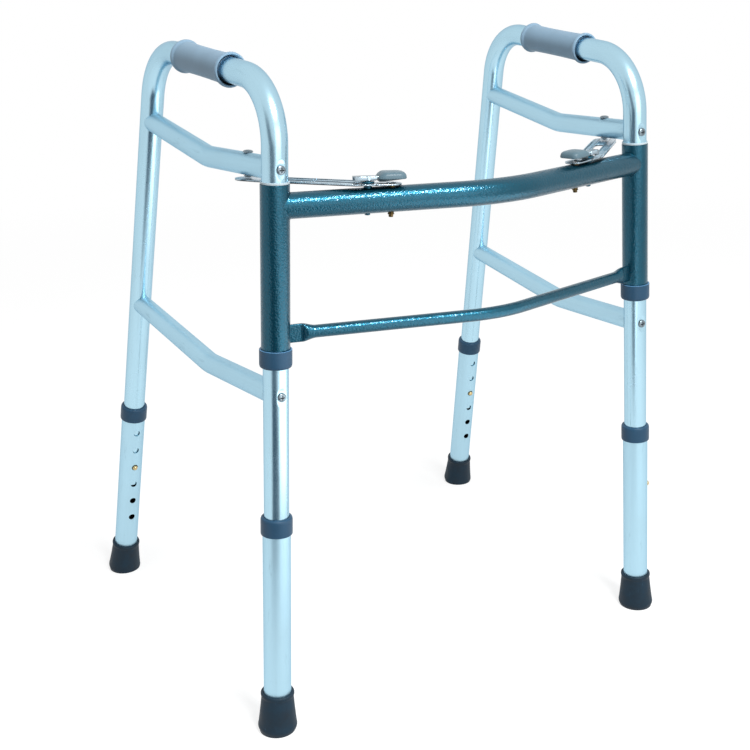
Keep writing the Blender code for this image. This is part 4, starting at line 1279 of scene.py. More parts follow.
def collar():
    """A moulded cap collar: a wall round the wider tube and a lip over its end."""
    neck, inner = UPPER_R + 0.12 * MM, LOWER_R + 0.12 * MM
    corners = [
        (neck, 0.0, 0.4 * MM), (COLLAR_R - 2.2 * MM, 0.0, 0.9 * MM),
        (COLLAR_R - 0.5 * MM, -0.9 * MM, 0.9 * MM), (COLLAR_R, -3.0 * MM, 1.2 * MM),
        (COLLAR_R, 0.9 * MM - COLLAR_HEIGHT, 0.0),
        (COLLAR_R - 0.1 * MM, -COLLAR_HEIGHT, 0.5 * MM),
        (inner + 0.3 * MM, -COLLAR_HEIGHT, 0.2 * MM), (inner, 0.5 * MM - COLLAR_HEIGHT, 0.0),
        (inner, -COLLAR_LIP, 0.0), (neck, -COLLAR_LIP, 0.0),
    ]
    rim = 0.3 * MM - COLLAR_HEIGHT
    # the lowest rim is lighter in colour
    return mark_shade_and_light(turned(corners, loop=True), lambda co: 0.9 if co.z < rim else 0.0)


class WALKER_OT_collars(bpy.types.Operator):
    """Make the collars of the sliding legs and below the sleeves"""

    bl_idname = "walker.collars"
    bl_label = "Collars"

    def execute(self, _context):
        over = shift(z=SLEEVE_BOTTOM - RUNNING_GAP - COLLAR_LIP) @ rotation(math.pi, "X")
        for side, name in SIDES:
            matrix = side_matrix(side)
            for leg, top in COLLAR_TOP.items():
                finished_piece(
                    f"{name}_{leg}_collar_cap", collar(), "collar", f"{name}_{leg}_leg_collar",
                    place=matrix @ leg_matrix(leg) @ shift(z=top),
                )
            finished_piece(
                f"{name}_sleeve_seat", collar(), "collar", f"{name}_sleeve_bushing",
                place=matrix @ over,
            )
        return {"FINISHED"}


def rubber_tip():
    """A flared tip with a rolled lip and a hollowed flank."""
    bore, seat = LOWER_R + 0.1 * MM, LEG_END - RUNNING_GAP
    corners = [
        (bore, TIP_HEIGHT, 0.2 * MM), (TIP_LIP_R - 0.9 * MM, TIP_HEIGHT, 0.6 * MM),
        (TIP_LIP_R, TIP_HEIGHT - 1.0 * MM, 0.8 * MM),
        (TIP_LIP_R, TIP_HEIGHT - 3.4 * MM, 0.8 * MM),
        (TIP_NECK_R, TIP_HEIGHT - 4.6 * MM, 0.8 * MM),
    ]
    top, low, steps = TIP_HEIGHT - 6.0 * MM, 8.5 * MM, 12
    for step in range(steps + 1):
        share = step / steps
        flare = (TIP_SOLE_R - 0.5 * MM - TIP_NECK_R) * (0.8 * share + 0.2 * share ** 2)
        corners.append((TIP_NECK_R + flare, top + (low - top) * share, 0.0))
    corners += [
        (TIP_SOLE_R, 6.0 * MM, 1.2 * MM), (TIP_SOLE_R - 0.2 * MM, 3.6 * MM, 1.0 * MM),
        (TIP_SOLE_R - 1.4 * MM, 0.9 * MM, 0.9 * MM), (TIP_SOLE_R - 2.6 * MM, -7.0 * MM, 0.0),
        (0.0, -7.0 * MM, 0.0), (0.0, seat, 0.0), (bore, seat, 0.0),
    ]
    return turned(corners, loop=True)


def cut_at_floor(mesh):
    """Cuts a placed mesh off level with the floor and closes it."""
    bm = merged_copy(mesh, 1e-7)
    result = bmesh.ops.bisect_plane(
        bm, geom=bm.verts[:] + bm.edges[:] + bm.faces[:], plane_co=(0.0, 0.0, 0.0),
        plane_no=UPRIGHT, clear_inner=True,
    )
    rim = [item for item in result["geom_cut"] if isinstance(item, bmesh.types.BMEdge)]
    bmesh.ops.holes_fill(bm, edges=rim, sides=0)
    return mesh_from(bm)


class WALKER_OT_rubber_tips(bpy.types.Operator):
    """Make the four rubber foot tips"""

    bl_idname = "walker.rubber_tips"
    bl_label = "Rubber Tips"

    def execute(self, _context):
        for _side, _leg, name, matrix in each_leg():
            mesh = cut_at_floor(transformed(rubber_tip(), matrix))
            finished_piece(f"{name}_foot", mesh, "rubber", f"{name}_tip")
        return {"FINISHED"}


def snap_button():
    """The domed button with its flange inside the inner tube."""
    seat, wide = UPPER_R - UPPER_WALL - 0.75 * MM, BUTTON_R + 0.8 * MM
    corners = dome(BUTTON_R, LOWER_R + BUTTON_PROUD, 2.6 * MM, 8, 8) + [
        (BUTTON_R, seat, 0.0), (wide, seat - BUTTON_FLANGE / 2, 0.2 * MM),
        (wide, seat - BUTTON_FLANGE, 0.2 * MM), (0.0, seat - BUTTON_FLANGE, 0.0),
    ]
    return turned(corners, 40)


class WALKER_OT_snap_buttons(bpy.types.Operator):
    """Make the brass snap buttons and their strip springs"""

    bl_idname = "walker.snap_buttons"
    bl_label = "Snap Buttons"

    def execute(self, _context):
        for side, leg, name, matrix in each_leg():
            place = matrix @ button_turn(leg, side) @ shift(z=BUTTON_UP[leg])
            finished_piece(
                f"{name}_snap_button", snap_button(), "brass", f"{name}_button",
                place=place @ rotation(QUARTER, "X"),
            )
            node = f"{name}_button_spring"
            strip = mesh_from(merged_copy(frame["nodes"][node].data))
            spring = finished_piece(f"{name}_flat_spring", strip, "spring_steel", node)
            closes_up(spring)
        return {"FINISHED"}


# Front frame


def ring_of(inner, outer, top, bottom, inner_ease, outer_ease):
    """A short round tube."""
    corners = [(inner, top, inner_ease), (outer, top, outer_ease)]
    corners += [(outer, bottom, outer_ease), (inner, bottom, inner_ease)]
    return turned(corners, loop=True)


def sleeve():
    return ring_of(
        SLEEVE_R - SLEEVE_WALL, SLEEVE_R, SLEEVE_TOP, SLEEVE_BOTTOM, 0.25 * MM, 0.35 * MM
    )


def sleeve_washer():
    top = brace_top_at(UPPER_R) - 2 * BRACE_R - RUNNING_GAP
    return ring_of(
        UPPER_R + 0.15 * MM, SLEEVE_R - 0.3 * MM, top, SLEEVE_TOP + RUNNING_GAP, 0.1 * MM, 0.3 * MM
    )


class WALKER_OT_sleeves(bpy.types.Operator):
    """Make the hinge sleeves and their washers"""

    bl_idname = "walker.sleeves"
    bl_label = "Hinge Sleeves"

    def execute(self, _context):
        for side, name in SIDES:
            place = side_matrix(side)
            finished_piece(f"{name}_hinge_sleeve", sleeve(), "paint", f"{name}_sleeve",
                           place=place)
            finished_piece(f"{name}_hinge_washer", sleeve_washer(), "washer_nylon",
                           f"{name}_sleeve_washer", place=place)
        return {"FINISHED"}


def bowed_points(height, bow, straight, steps):
    """A bar bowed to the front between the two leg axes."""
    end_x = FLOOR_HALF - math.tan(LEAN) * math.cos(SPLAY) * height
    end_y = FRONT_LEG_Y + math.tan(LEAN) * math.sin(SPLAY) * height
    corners = [
        (-end_x, end_y, height), (0.0, end_y - math.tan(bow) * end_x, height),
        (end_x, end_y, height),
    ]
    return rounded_path(corners, straight / math.sin(bow), steps)


def top_crossbar(sizes):
    """The bowed bar, swelling into a weld saddle at each sleeve, with latch holes."""
    path = bowed_points(BAR_H, BOW, BOW_STRAIGHT, steps=40)
    ends = [path[0].copy(), path[-1].copy()]
    path = with_stations(path, ends, reach=34 * MM, pitch=0.7 * MM)
    latches = [
        [side_matrix(side) @ along_bar(a, bar_height(a)) for a in (PIN_ALONG, PLUNGER_ALONG)]
        for side, _name in SIDES
    ]
    path = with_stations(path, latches[0] + latches[1], reach=7 * MM, pitch=1.0 * MM)
    stations = frames_along(path, UPRIGHT)
    outer, inner = tube_rings(stations, BAR_R, BAR_WALL, sizes.tube_sides)
    for rings in (outer, inner):
        saddle_to_sleeves(stations, rings)
    swell_to_sleeves(stations, outer, sizes.weld_radius)
    obj = placed_object("work", skin(outer + inner[::-1], loop=True))
    for (side, _name), (first, second) in zip(SIDES, latches):
        up = side_matrix(side).col[2].to_3d()
        add_shape(
            obj, "Row of holes", "paint", start=tuple(first), step=tuple(second - first),
            count=2, hole_radius=PLUNGER_R + 0.4 * MM, depth=4 * BAR_R,
            turn=tuple(up.to_track_quat("Z", "Y").to_euler()),
        )
    return mark_run(evaluated(obj), path, UPRIGHT)


def saddle_to_sleeves(stations, rings):
    """Notches both ends of the bar to the sleeves, easing its rings back to square."""
    reach = 38 * MM
    for (side, _name), end, sign in zip(SIDES, (0, len(stations) - 1), (1.0, -1.0)):
        leg = side_matrix(side)
        on = stations[end][3] * sign
        met = meet_leg(
            rings[end], on, leg.translation, leg.col[2].to_3d(), SLEEVE_R - 0.3 * MM, True
        )
        slides = [(there - here).dot(on) for here, there in zip(rings[end], met)]
        for station, ring in zip(stations, rings):
            share = 1.0 - (station[0] - stations[end][0]).length / reach
            if share > 0.0:
                ring[:] = [p + on * slide * share for p, slide in zip(ring, slides)]


def swell_to_sleeves(stations, rings, weld):
    """Moves the bar's surface out where it nears a sleeve, as a fillet of weld."""
    for station, ring in zip(stations, rings):
        side, size = (-1, LEFT_WELD_SHARE * weld) if station[0].x < 0.0 else (1, weld)
        leg = side_matrix(side)
        base, up = leg.translation, leg.col[2].to_3d()
        for i, point in enumerate(ring):
            away = (point - base) - up * (point - base).dot(up)
            gap = max(away.length - SLEEVE_R, 0.0)
            out = (point - station[0]).normalized()
            reach = size * min(max(1.0 - out.dot(away.normalized()), 0.0), 1.0)
            if gap < reach:
                share = 1.0 - gap / reach
                rise = reach * (1.0 - math.sqrt(max(1.0 - share ** 2, 0.0)))
                ring[i] = point + out * rise


def lower_crossbar(sizes):
    """The thin bar, pressed into flat upright tabs where it meets the sleeves."""
    # where the bar starts, how long its change of shape is, and the share of it
    # from which the tab gets thin
    start_away, blend, thinning = 12.6 * MM, 14 * MM, 0.62
    path = bowed_points(LOW_BAR_H, LOW_BOW, LOW_BOW_STRAIGHT, steps=32)
    ends = [path[0].copy(), path[-1].copy()]
    path = with_stations(path, ends, reach=56 * MM, pitch=1.0 * MM)
    stations, rings = [], []
    for station in frames_along(path, UPRIGHT):
        away = min((station[0] - end).length for end in ends)
        share = (FLAT_LENGTH + SLEEVE_R + 1.5 * MM - away) / blend
        share = min(max(share, 0.0), 1.0)
        tall = share * share * (3 - 2 * share)
        thin = min(max((share - thinning) / (1.0 - thinning), 0.0), 1.0) ** 1.5
        stations.append(station)
        rings.append(ring_at(station, flattened(tall, thin, sizes.tube_sides)))
    start = next(i for i, s in enumerate(stations) if (s[0] - ends[0]).length > start_away)
    stop = len(stations) - start
    centres = [[stations[start][0]], [stations[stop - 1][0]]]
    return mark_run(skin([centres[0], *rings[start:stop], centres[1]]), path, UPRIGHT)


def flattened(tall, thin, sides):
    """A ring of the thin bar, from round at 0 to a flat tab at 1."""
    squareness = 0.62
    power = 1.0 - squareness * thin
    tall = LOW_BAR_R + tall * (FLAT_HALF_HEIGHT - LOW_BAR_R)
    thin = LOW_BAR_R + thin * (FLAT_HALF_THICKNESS - LOW_BAR_R)
    return [
        (math.copysign(abs(c) ** power, c) * tall, math.copysign(abs(s) ** power, s) * thin)
        for c, s in circle(1.0, sides)
    ]


class WALKER_OT_crossbars(bpy.types.Operator):
    """Make the bowed crossbar and the thin bar below it"""

    bl_idname = "walker.crossbars"
    bl_label = "Crossbars"

    def execute(self, context):
        sizes = context.scene.walker_sizes
        finished_piece("bowed_crossbar", top_crossbar(sizes), "paint", "top_crossbar")
        finished_piece("thin_crossbar", lower_crossbar(sizes), "paint", "lower_crossbar")
        return {"FINISHED"}


# Latches


def link_point(along):
    return tuple((link_matrix().inverted() @ along_bar(along, LINK_BOTTOM)).xy)


def raised_edge(start, end, edge, width, rise, ease):
    """A rib along the link, from an edge line inwards."""
    low, high = sorted((edge, edge + width))
    return softened_box(
        (start, low, LINK_THICKNESS * 0.4), (end, high, LINK_THICKNESS + rise), ease
    )


def latch_link():
    """The slotted link with its eye, lock hole and raised edges."""
    pin_u, hole = link_point(PIN_ALONG)[0], link_point(PLUNGER_ALONG)
    slope = BAR_TURN - link_angle()
    front_y = hole[1] - LINK_TIP_R * math.cos(slope)
    taper = hole[0] + LINK_TIP_R * math.sin(slope) - (front_y - LINK_FRONT) / math.tan(slope)
    outline = arc((0.0, 0.0), LINK_REAR, 90, 250, 28)
    outline += [(12.0 * MM, LINK_FRONT), (taper, LINK_FRONT)]
    outline += arc(hole, LINK_TIP_R, math.degrees(slope) - 90, 100, 28)
    outline += [(hole[0] - 16.0 * MM, LINK_REAR)]
    half = PIN_R + SLOT_CLEAR
    slot = arc((pin_u - LINK_TRAVEL, 0.0), half, 90, 270, 20)
    slot += arc((pin_u, 0.0), half, -90, 90, 20)
    eye = arc((0.0, 0.0), BOLT_R + RUNNING_GAP, 0, 351, 39)
    lock = arc(hole, PLUNGER_R + 0.8 * MM, 0, 351, 39)
    body = pressed_plate([outline, slot, eye, lock], 0.0, LINK_THICKNESS, 0.25 * MM)
    rims = [
        raised_edge(16.0 * MM, end, edge + inward * 0.2 * MM, inward * 1.6 * MM, LINK_RIM,
                    0.42 * MM)
        for edge, inward, end in
        ((LINK_FRONT, 1, taper - 4 * MM), (LINK_REAR, -1, pin_u - 8 * MM))
    ]
    rims += [
        raised_edge(pin_u - LINK_TRAVEL, pin_u - 8 * MM, side * half * 1.06, side * 1.1 * MM,
                    0.28 * MM, 0.3 * MM)
        for side in (-1, 1)
    ]
    link = combined(body, rims, "UNION")
    store(link, TUBE_RUN, coordinates(link))
    # painted shadow on the underside and the lower edge of the link
    mark_shade_and_light(link, lambda co: -0.95 if co.z < 0.75 * MM else 0.0)
    return transformed(link, link_matrix())


def plate_of(corners, bottom, top, ease):
    outline = [tuple(point) for point in eased(corners, 6)]
    return pressed_plate([outline], bottom, top, ease)


def latch_lever():
    """The pressed lever: a channel with deep ears on the pivot and a dropped tail."""
    top, half = LEVER_TOP - LEVER_SINK, LEVER_HALF
    tail, tip = TAIL_FROM - PIN_ALONG, PLUNGER_ALONG - PIN_ALONG + LEVER_TIP
    step, narrow = -7.5 * MM, half - 1.2 * MM
    outline = [
        (tail + MM, narrow, 1.0 * MM), (tail + MM, -narrow, 1.0 * MM), (step, -half, 1.5 * MM),
        (tip, -half, 2.0 * MM), (tip, half, 2.0 * MM), (step, half, 1.5 * MM),
    ]
    strip = plate_of(outline, top - LEVER_SKIN, top, 0.25 * MM)
    low, tail_low, high = LEVER_PIVOT_H - 1.9 * MM, LINK_TOP + 1.5 * MM, top - 0.3 * MM
    ear = [
        (tail + 1.4 * MM, high, 0.0), (tail + 1.9 * MM, tail_low, 0.8 * MM),
        (-7.6 * MM, tail_low, 0.4 * MM), (-6.9 * MM, low, 0.5 * MM),
        (7.0 * MM, low, 1.0 * MM), (9.0 * MM, high, 0.0),
    ]
    ears = []
    for side in (-1, 1):
        inner, outer = sorted((side * (half - 1.3 * MM), side * half))
        swing = shift(y=inner + outer) @ rotation(QUARTER, "X")
        ears.append(transformed(plate_of(ear, inner, outer, 0.2 * MM), swing))
    # the tail behind the pivot is darker; the ears below the strip are darker still, as painted
    # shade under the paddle
    lever = mark_shade_and_light(
        combined(strip, ears, "UNION"),
        lambda co: -0.55 if co.x < -8.0 * MM else -0.8 if co.z < top - 2 * MM else 0.0,
    )
    return transformed(lever, latch_matrix(PIN_ALONG))


def latch_paddle():
    """The moulded paddle: a crowned cap, hollow underneath."""
    half_x = (PADDLE_TO - PADDLE_FROM) / 2
    middle = (PADDLE_FROM + PADDLE_TO) / 2 - PIN_ALONG
    rim, crown, under = PADDLE_RIM, PADDLE_CROWN, LEVER_TOP - 1.2 * MM
    press_slope, lean_in = 0.112, 0.55

    def skirt(x):
        """The socket's lower edge, clear of the link when the lever is down."""
        return min(LINK_TOP + 1.1 * MM + press_slope * (x + middle), rim + 0.3 * MM)

    # inset in millimetres, height
    section = (
        (3.6, under), (3.0, under - 0.8 * MM), (2.4, skirt), (1.4, skirt),
        (1.1, rim + 0.4 * MM), (0.9, rim), (0.4, rim), (0.0, rim + 0.5 * MM),
        (0.0, rim + 1.5 * MM), (0.4, rim + 3.4 * MM), (0.8, crown - 2.6 * MM),
        (1.0, crown - 2.3 * MM), (2.3, crown - 1.0 * MM), (2.6, crown - 0.85 * MM),
        (3.2, crown - 0.7 * MM), (5.4, crown - 0.4 * MM), (8.0, crown - 0.12 * MM),
    )
    rings = [paddle_ring(half_x, inset * MM, height) for inset, height in section]
    rings = [[Vector((0.0, 0.0, under))], *rings, [Vector((0.0, 0.0, crown))]]
    for ring in rings:
        for point in ring:
            if point.x < 0.0 and point.z > rim:
                point.x *= 1.0 - lean_in * max(point.z - rim - 0.5 * MM, 0.0) / half_x
    # painted shade: the socket below the rim is darkened, for the hollow under the cap
    paddle = mark_shade_and_light(skin(rings), lambda co: -1.0 if co.z < rim - 0.05 * MM else 0.0)
    return transformed(paddle, latch_matrix(PIN_ALONG) @ shift(middle))


def paddle_ring(half_x, inset, height):
    """A rounded oblong ring of the paddle, drawn in by an inset."""
    wide, deep = half_x - inset, PADDLE_HALF - inset
    radius = min(max(7.0 * MM - inset * 0.5, 1.2 * MM), deep * 0.98)
    points = []
    for corner, (sx, sy) in enumerate(((1, 1), (-1, 1), (-1, -1), (1, -1))):
        centre = (sx * (wide - radius), sy * (deep - radius))
        points += arc(centre, radius, corner * 90, corner * 90 + 90, 10)
    return [Vector((x, y, height(x) if callable(height) else height)) for x, y in points]


def press_stud():
    low = LINK_TOP + LINK_RIM + PLUNGER_DROP + RUNNING_GAP
    high = LEVER_TOP - LEVER_SINK - LEVER_SKIN - 0.05 * MM
    wide = PLUNGER_R + 0.6 * MM
    corners = [
        (0.0, high, 0.0), (wide, high, 0.2 * MM), (wide, high - 1.0 * MM, 0.2 * MM),
        (PLUNGER_R, high - 1.1 * MM, 0.1 * MM), (PLUNGER_R, low, 0.5 * MM), (0.0, low, 0.0),
    ]
    return transformed(turned(corners, SMALL_RING), latch_matrix(PLUNGER_ALONG))


def lever_pivot():
    half, radius = 5.6 * MM, LEVER_PIVOT_R
    head, inner = radius + 0.7 * MM, half - 0.6 * MM
    corners = [
        (0.0, half, 0.0), (head, half, 0.4 * MM), (head, inner, 0.1 * MM),
        (radius, inner, 0.1 * MM), (radius, -half, 0.4 * MM), (0.0, -half, 0.0),
    ]
    matrix = latch_matrix(PIN_ALONG, LEVER_PIVOT_H) @ rotation(QUARTER, "X")
    return transformed(turned(corners, 32), matrix)


def guide_pin():
    """The pin that the link slides on, with the lever's post and a welded foot."""
    under, head = bar_height(PIN_ALONG) - BAR_R, LINK_TOP + SLOT_CLEAR
    corners = [
        (0.0, head + PIN_HEAD, 0.0), (PIN_HEAD_R, head + PIN_HEAD, 0.6 * MM),
        (PIN_HEAD_R, head, 0.2 * MM), (PIN_R, head, 0.1 * MM),
        (PIN_R, under + 2.4 * MM, 0.1 * MM), (PIN_FOOT_R, under + 2.2 * MM, 0.1 * MM),
        (PIN_FOOT_R, under - 0.6 * MM, 0.3 * MM), (2.2 * MM, under - 1.5 * MM, 0.7 * MM),
        (0.0, under - 1.8 * MM, 0.0),
    ]
    post = softened_box(
        (-2.4 * MM, -3.0 * MM, head + 0.5 * MM),
        (2.4 * MM, 3.0 * MM, LEVER_PIVOT_H + 0.62 * MM), 0.5 * MM,
    )
    pin = combined(turned(corners, SMALL_RING), [post], "UNION")
    return transformed(pin, latch_matrix(PIN_ALONG))


def lock_plunger():
    """The plunger through the crossbar, with its flange, neck and clip."""
    axis = bar_height(PLUNGER_ALONG)
    top, flange = LINK_BOTTOM - RUNNING_GAP, axis + PLUNGER_FLANGE
    low, clip = axis - BAR_R - 4.8 * MM, axis - BAR_R - 1.3 * MM
    wide, neck = PLUNGER_R + 1.3 * MM, PLUNGER_R - 1.3 * MM
    ring, end = neck + 0.35 * MM, neck - 0.6 * MM
    corners = [
        (0.0, top, 0.0), (PLUNGER_R, top, 0.6 * MM), (PLUNGER_R, flange, 0.1 * MM),
        (wide, flange, 0.2 * MM), (wide, flange - MM, 0.2 * MM), (neck, flange - MM, 0.1 * MM),
        (neck, clip, 0.1 * MM), (ring, clip - 0.1 * MM, 0.1 * MM),
        (ring, clip - 0.8 * MM, 0.1 * MM), (end, clip - 0.9 * MM, 0.1 * MM),
        (end, low, 0.7 * MM), (0.0, low, 0.0),
    ]
    return transformed(turned(corners, SMALL_RING), latch_matrix(PLUNGER_ALONG))


def plunger_coil():
    """The coil round the plunger inside the crossbar."""
    axis = bar_height(PLUNGER_ALONG)
    low = axis - 8.6 * MM + COIL_WIRE
    high = axis + PLUNGER_FLANGE - MM - RUNNING_GAP - COIL_WIRE
    obj = placed_object("work", bpy.data.meshes.new("coil"))
    add_shape(
        obj, "Coil spring", "spring_steel", coil_radius=PLUNGER_R + 0.5 * MM,
        wire_radius=COIL_WIRE, height=high - low, turns=5.0,
    )
    return transformed(evaluated(obj), latch_matrix(PLUNGER_ALONG, low))


class WALKER_OT_latches(bpy.types.Operator):
    """Make both latches: link, lever, paddle, stud, pins, plunger and coil"""

    bl_idname = "walker.latches"
    bl_label = "Latches"

    def execute(self, _context):
        pieces = (
            ("slotted_link", latch_link, "link_zinc", "link"),
            ("press_lever", latch_lever, "zinc", "lever"),
            ("thumb_paddle", latch_paddle, "paddle_plastic", "paddle"),
            ("paddle_stud", press_stud, "gold_zinc", "press_stud"),
            ("pivot_rivet", lever_pivot, "zinc", "lever_pivot"),
            ("slot_pin", guide_pin, "paint", "guide_pin"),
            ("lock_pin", lock_plunger, "gold_zinc", "plunger"),
            ("lock_coil", plunger_coil, "spring_steel", "plunger_spring"),
        )
        for side, name in SIDES:
            for piece, make, finish, node in pieces:
                made = finished_piece(
                    f"{name}_{piece}", make(), finish, f"{name}_{node}", place=side_matrix(side)
                )
                if make is plunger_coil:
                    closes_up(made)
        return {"FINISHED"}


# Fasteners


def cross_head_screw():
    """A pan head with a cross recess and a short plain shank."""
    corners = dome(SCREW_HEAD_R, SCREW_HEAD, 0.65 * SCREW_HEAD, 8, 7) + [
        (SCREW_HEAD_R, 0.5 * MM, 0.3 * MM), (SCREW_HEAD_R - 0.2 * MM, 0.0, 0.1 * MM),
        (SCREW_R, 0.0, 0.1 * MM), (SCREW_R, -SCREW_LENGTH, 0.4 * MM), (0.0, -SCREW_LENGTH, 0.0),
    ]
    low, high = 0.9 * MM, SCREW_HEAD + MM
    bars = [
        softened_box((-x, -y, low), (x, y, high), 0.2 * MM)
        for x, y in ((2.5 * MM, 0.55 * MM), (0.55 * MM, 2.5 * MM))
    ]
    cross = combined(bars[0], bars[1:], "UNION")
    screw = combined(turned(corners, SMALL_RING), [cross], "DIFFERENCE")
    # painted shade in the cross recess and under the head
    return mark_shade_and_light(screw, lambda co: -0.9 if co.z < 1.0 * MM else 0.0)


def brace_bolt():
    """The link's pivot bolt, headed above the brace with a spacer below it."""
    top = brace_top_at(BOLT_BACK)
    seat, under, low = top + 0.1 * MM, top - 2 * BRACE_R, LINK_TOP + LINK_RIM + 0.4 * MM
    spacer = BOLT_R + 1.2 * MM
    corners = dome(BOLT_HEAD_R, seat + BOLT_HEAD, 0.7 * BOLT_HEAD, 6, 6) + [
        (BOLT_HEAD_R, seat, 0.2 * MM), (BOLT_R, seat, 0.1 * MM),
        (BOLT_R, under - 0.2 * MM, 0.0), (spacer, under - 0.4 * MM, 0.2 * MM),
        (spacer, low + 0.9 * MM, 0.2 * MM), (BOLT_R, low + 0.7 * MM, 0.0),
        (BOLT_R, low, 0.3 * MM), (0.0, low, 0.0),
    ]
    return transformed(turned(corners, SMALL_RING), shift(y=BOLT_BACK))


class WALKER_OT_fasteners(bpy.types.Operator):
    """Make the brace screws and the link bolts"""

    bl_idname = "walker.fasteners"
    bl_label = "Screws and Bolts"

    def execute(self, _context):
        for side, name in SIDES:
            obj = placed_object("work", cross_head_screw())
            add_shape(
                obj, "Row of fasteners", "zinc",
                start=(0.0, SCREW_SEAT - UPPER_R - 0.05 * MM, UPPER_BRACE_H),
                step=(0.0, 0.0, LOWER_BRACE_H - UPPER_BRACE_H), count=2,
                turn=(QUARTER, 0.0, 0.0),
            )
            place = side_matrix(side)
            finished_piece(
                f"{name}_brace_screws", evaluated(obj), "dark_zinc", f"{name}_upper_screw",
                f"{name}_lower_screw", place=place,
            )
            finished_piece(
                f"{name}_link_bolt", brace_bolt(), "dark_zinc", f"{name}_brace_bolt", place=place
            )
        return {"FINISHED"}


# Stage


def add_camera(place):
    data = bpy.data.cameras.new("Camera")
    data.sensor_width = 36.0
    data.lens = data.sensor_width * FOCAL_PIXELS / IMAGE_SIDE
    data.shift_y = (OPTICAL_ROW - IMAGE_SIDE / 2) / IMAGE_SIDE
    data.clip_start, data.clip_end = 0.05, 200.0
    camera = placed_object("Camera", data)
    ahead = Vector((math.sin(CAMERA_YAW), math.cos(CAMERA_YAW), 0.0))
    right = Vector((math.cos(CAMERA_YAW), -math.sin(CAMERA_YAW), 0.0))
    ahead = ahead * math.cos(CAMERA_PITCH) - UPRIGHT * math.sin(CAMERA_PITCH)
    up = right.cross(ahead)
    c, s = math.cos(CAMERA_ROLL), math.sin(CAMERA_ROLL)
    axes = Matrix((right * c + up * s, up * c - right * s, -ahead)).transposed().to_4x4()
    camera.matrix_world = Matrix.Translation(place) @ axes
    bpy.context.scene.camera = camera


def add_lamp(name, place, target, power, wide, tall):
    data = bpy.data.lights.new(name, "AREA")
    data.shape, data.size, data.size_y, data.energy = "RECTANGLE", wide, tall, power
    lamp = placed_object(name, data)
    aim = Vector(target) - Vector(place)
    turn = aim.to_track_quat("-Z", "Y").to_matrix().to_4x4()
    lamp.matrix_world = Matrix.Translation(place) @ turn
    return lamp


class StageTree(Nodes):
    """The nodes of the world, or of a surface that isn't part of the walker."""

    def __init__(self, owner):
        owner.use_nodes = True
        self.tree = owner.node_tree
        shader = self.tree.nodes.get("Principled BSDF")
        if shader is not None:
            self.tree.nodes.remove(shader)

    def seen_directly(self):
        """1 for rays from the camera, mirrors and glass, 0 for the light they scatter."""
        path = self.node("ShaderNodeLightPath").outputs
        glossy = self.math("MAXIMUM", path["Is Camera Ray"], path["Is Glossy Ray"])
        return self.math("MAXIMUM", glossy, path["Is Transmission Ray"])

    def end(self, share, first, second):
        mixed = self.result("ShaderNodeMixShader", {0: share, 1: first, 2: second})
        self.tree.links.new(mixed, self.tree.nodes["Material Output"].inputs["Surface"])


def set_world(sky):
    """White where it is seen, and the plain level of light where it scatters."""
    world = bpy.data.worlds.new("White studio")
    bpy.context.scene.world = world
    stage = StageTree(world)
    background = stage.tree.nodes["Background"].inputs
    background["Color"].default_value = (1.0, 1.0, 1.0, 1.0)
    level = stage.span(stage.seen_directly(), to_low=sky)
    stage.tree.links.new(level, background["Strength"])


def add_floor():
    """A pale floor that whitens with distance and keeps a soft shadow near by."""
    half, grey, plain = 60.0, 0.42, 0.73
    corners = [(x * half, y * half, 0.0) for x, y in ((-1, -1), (1, -1), (1, 1), (-1, 1))]
    floor = placed_object("Floor", wire_mesh(corners, [(0, 1, 2, 3)]))
    material = bpy.data.materials.new("Pale floor")
    stage = StageTree(material)
    place = stage.node("ShaderNodeTexCoord").outputs["Object"]
    away = stage.node("ShaderNodeVectorMath", {0: place}, operation="LENGTH").outputs["Value"]
    paint = stage.result("ShaderNodeBsdfDiffuse", {"Color": (grey, grey, grey, 1.0)})
    glow = stage.math("MULTIPLY", stage.seen_directly(), plain)
    glow = stage.result("ShaderNodeEmission", {"Strength": glow})
    near = stage.result("ShaderNodeAddShader", {0: paint, 1: glow})
    white = stage.span(stage.seen_directly(), to_low=0.4)
    white = stage.result("ShaderNodeEmission", {"Strength": white})
    stage.end(stage.span(away, 1.0, 3.0), near, white)
    floor.data.materials.append(material)


# the dark flag in front: (distance, height, degrees left of the front, half width, share)
FLAG_RUN = (
    (0.66, 0.004, 38.0, 0.34, 0.0), (0.76, 0.004, 37.0, 0.38, 1.0),
    (1.15, 0.004, 36.0, 0.48, 1.0), (1.60, 0.004, 41.0, 0.58, 0.95),
    (1.76, 0.10, 43.0, 0.60, 0.95), (1.82, 0.45, 45.0, 0.60, 0.90),
    (1.84, 0.75, 60.0, 0.55, 0.85), (1.86, 1.10, 68.0, 0.52, 0.80),
    (1.88, 1.70, 70.0, 0.52, 0.0),
)
FLAG_COLUMNS = 16
FLAG_SOFT_EDGE = 0.22


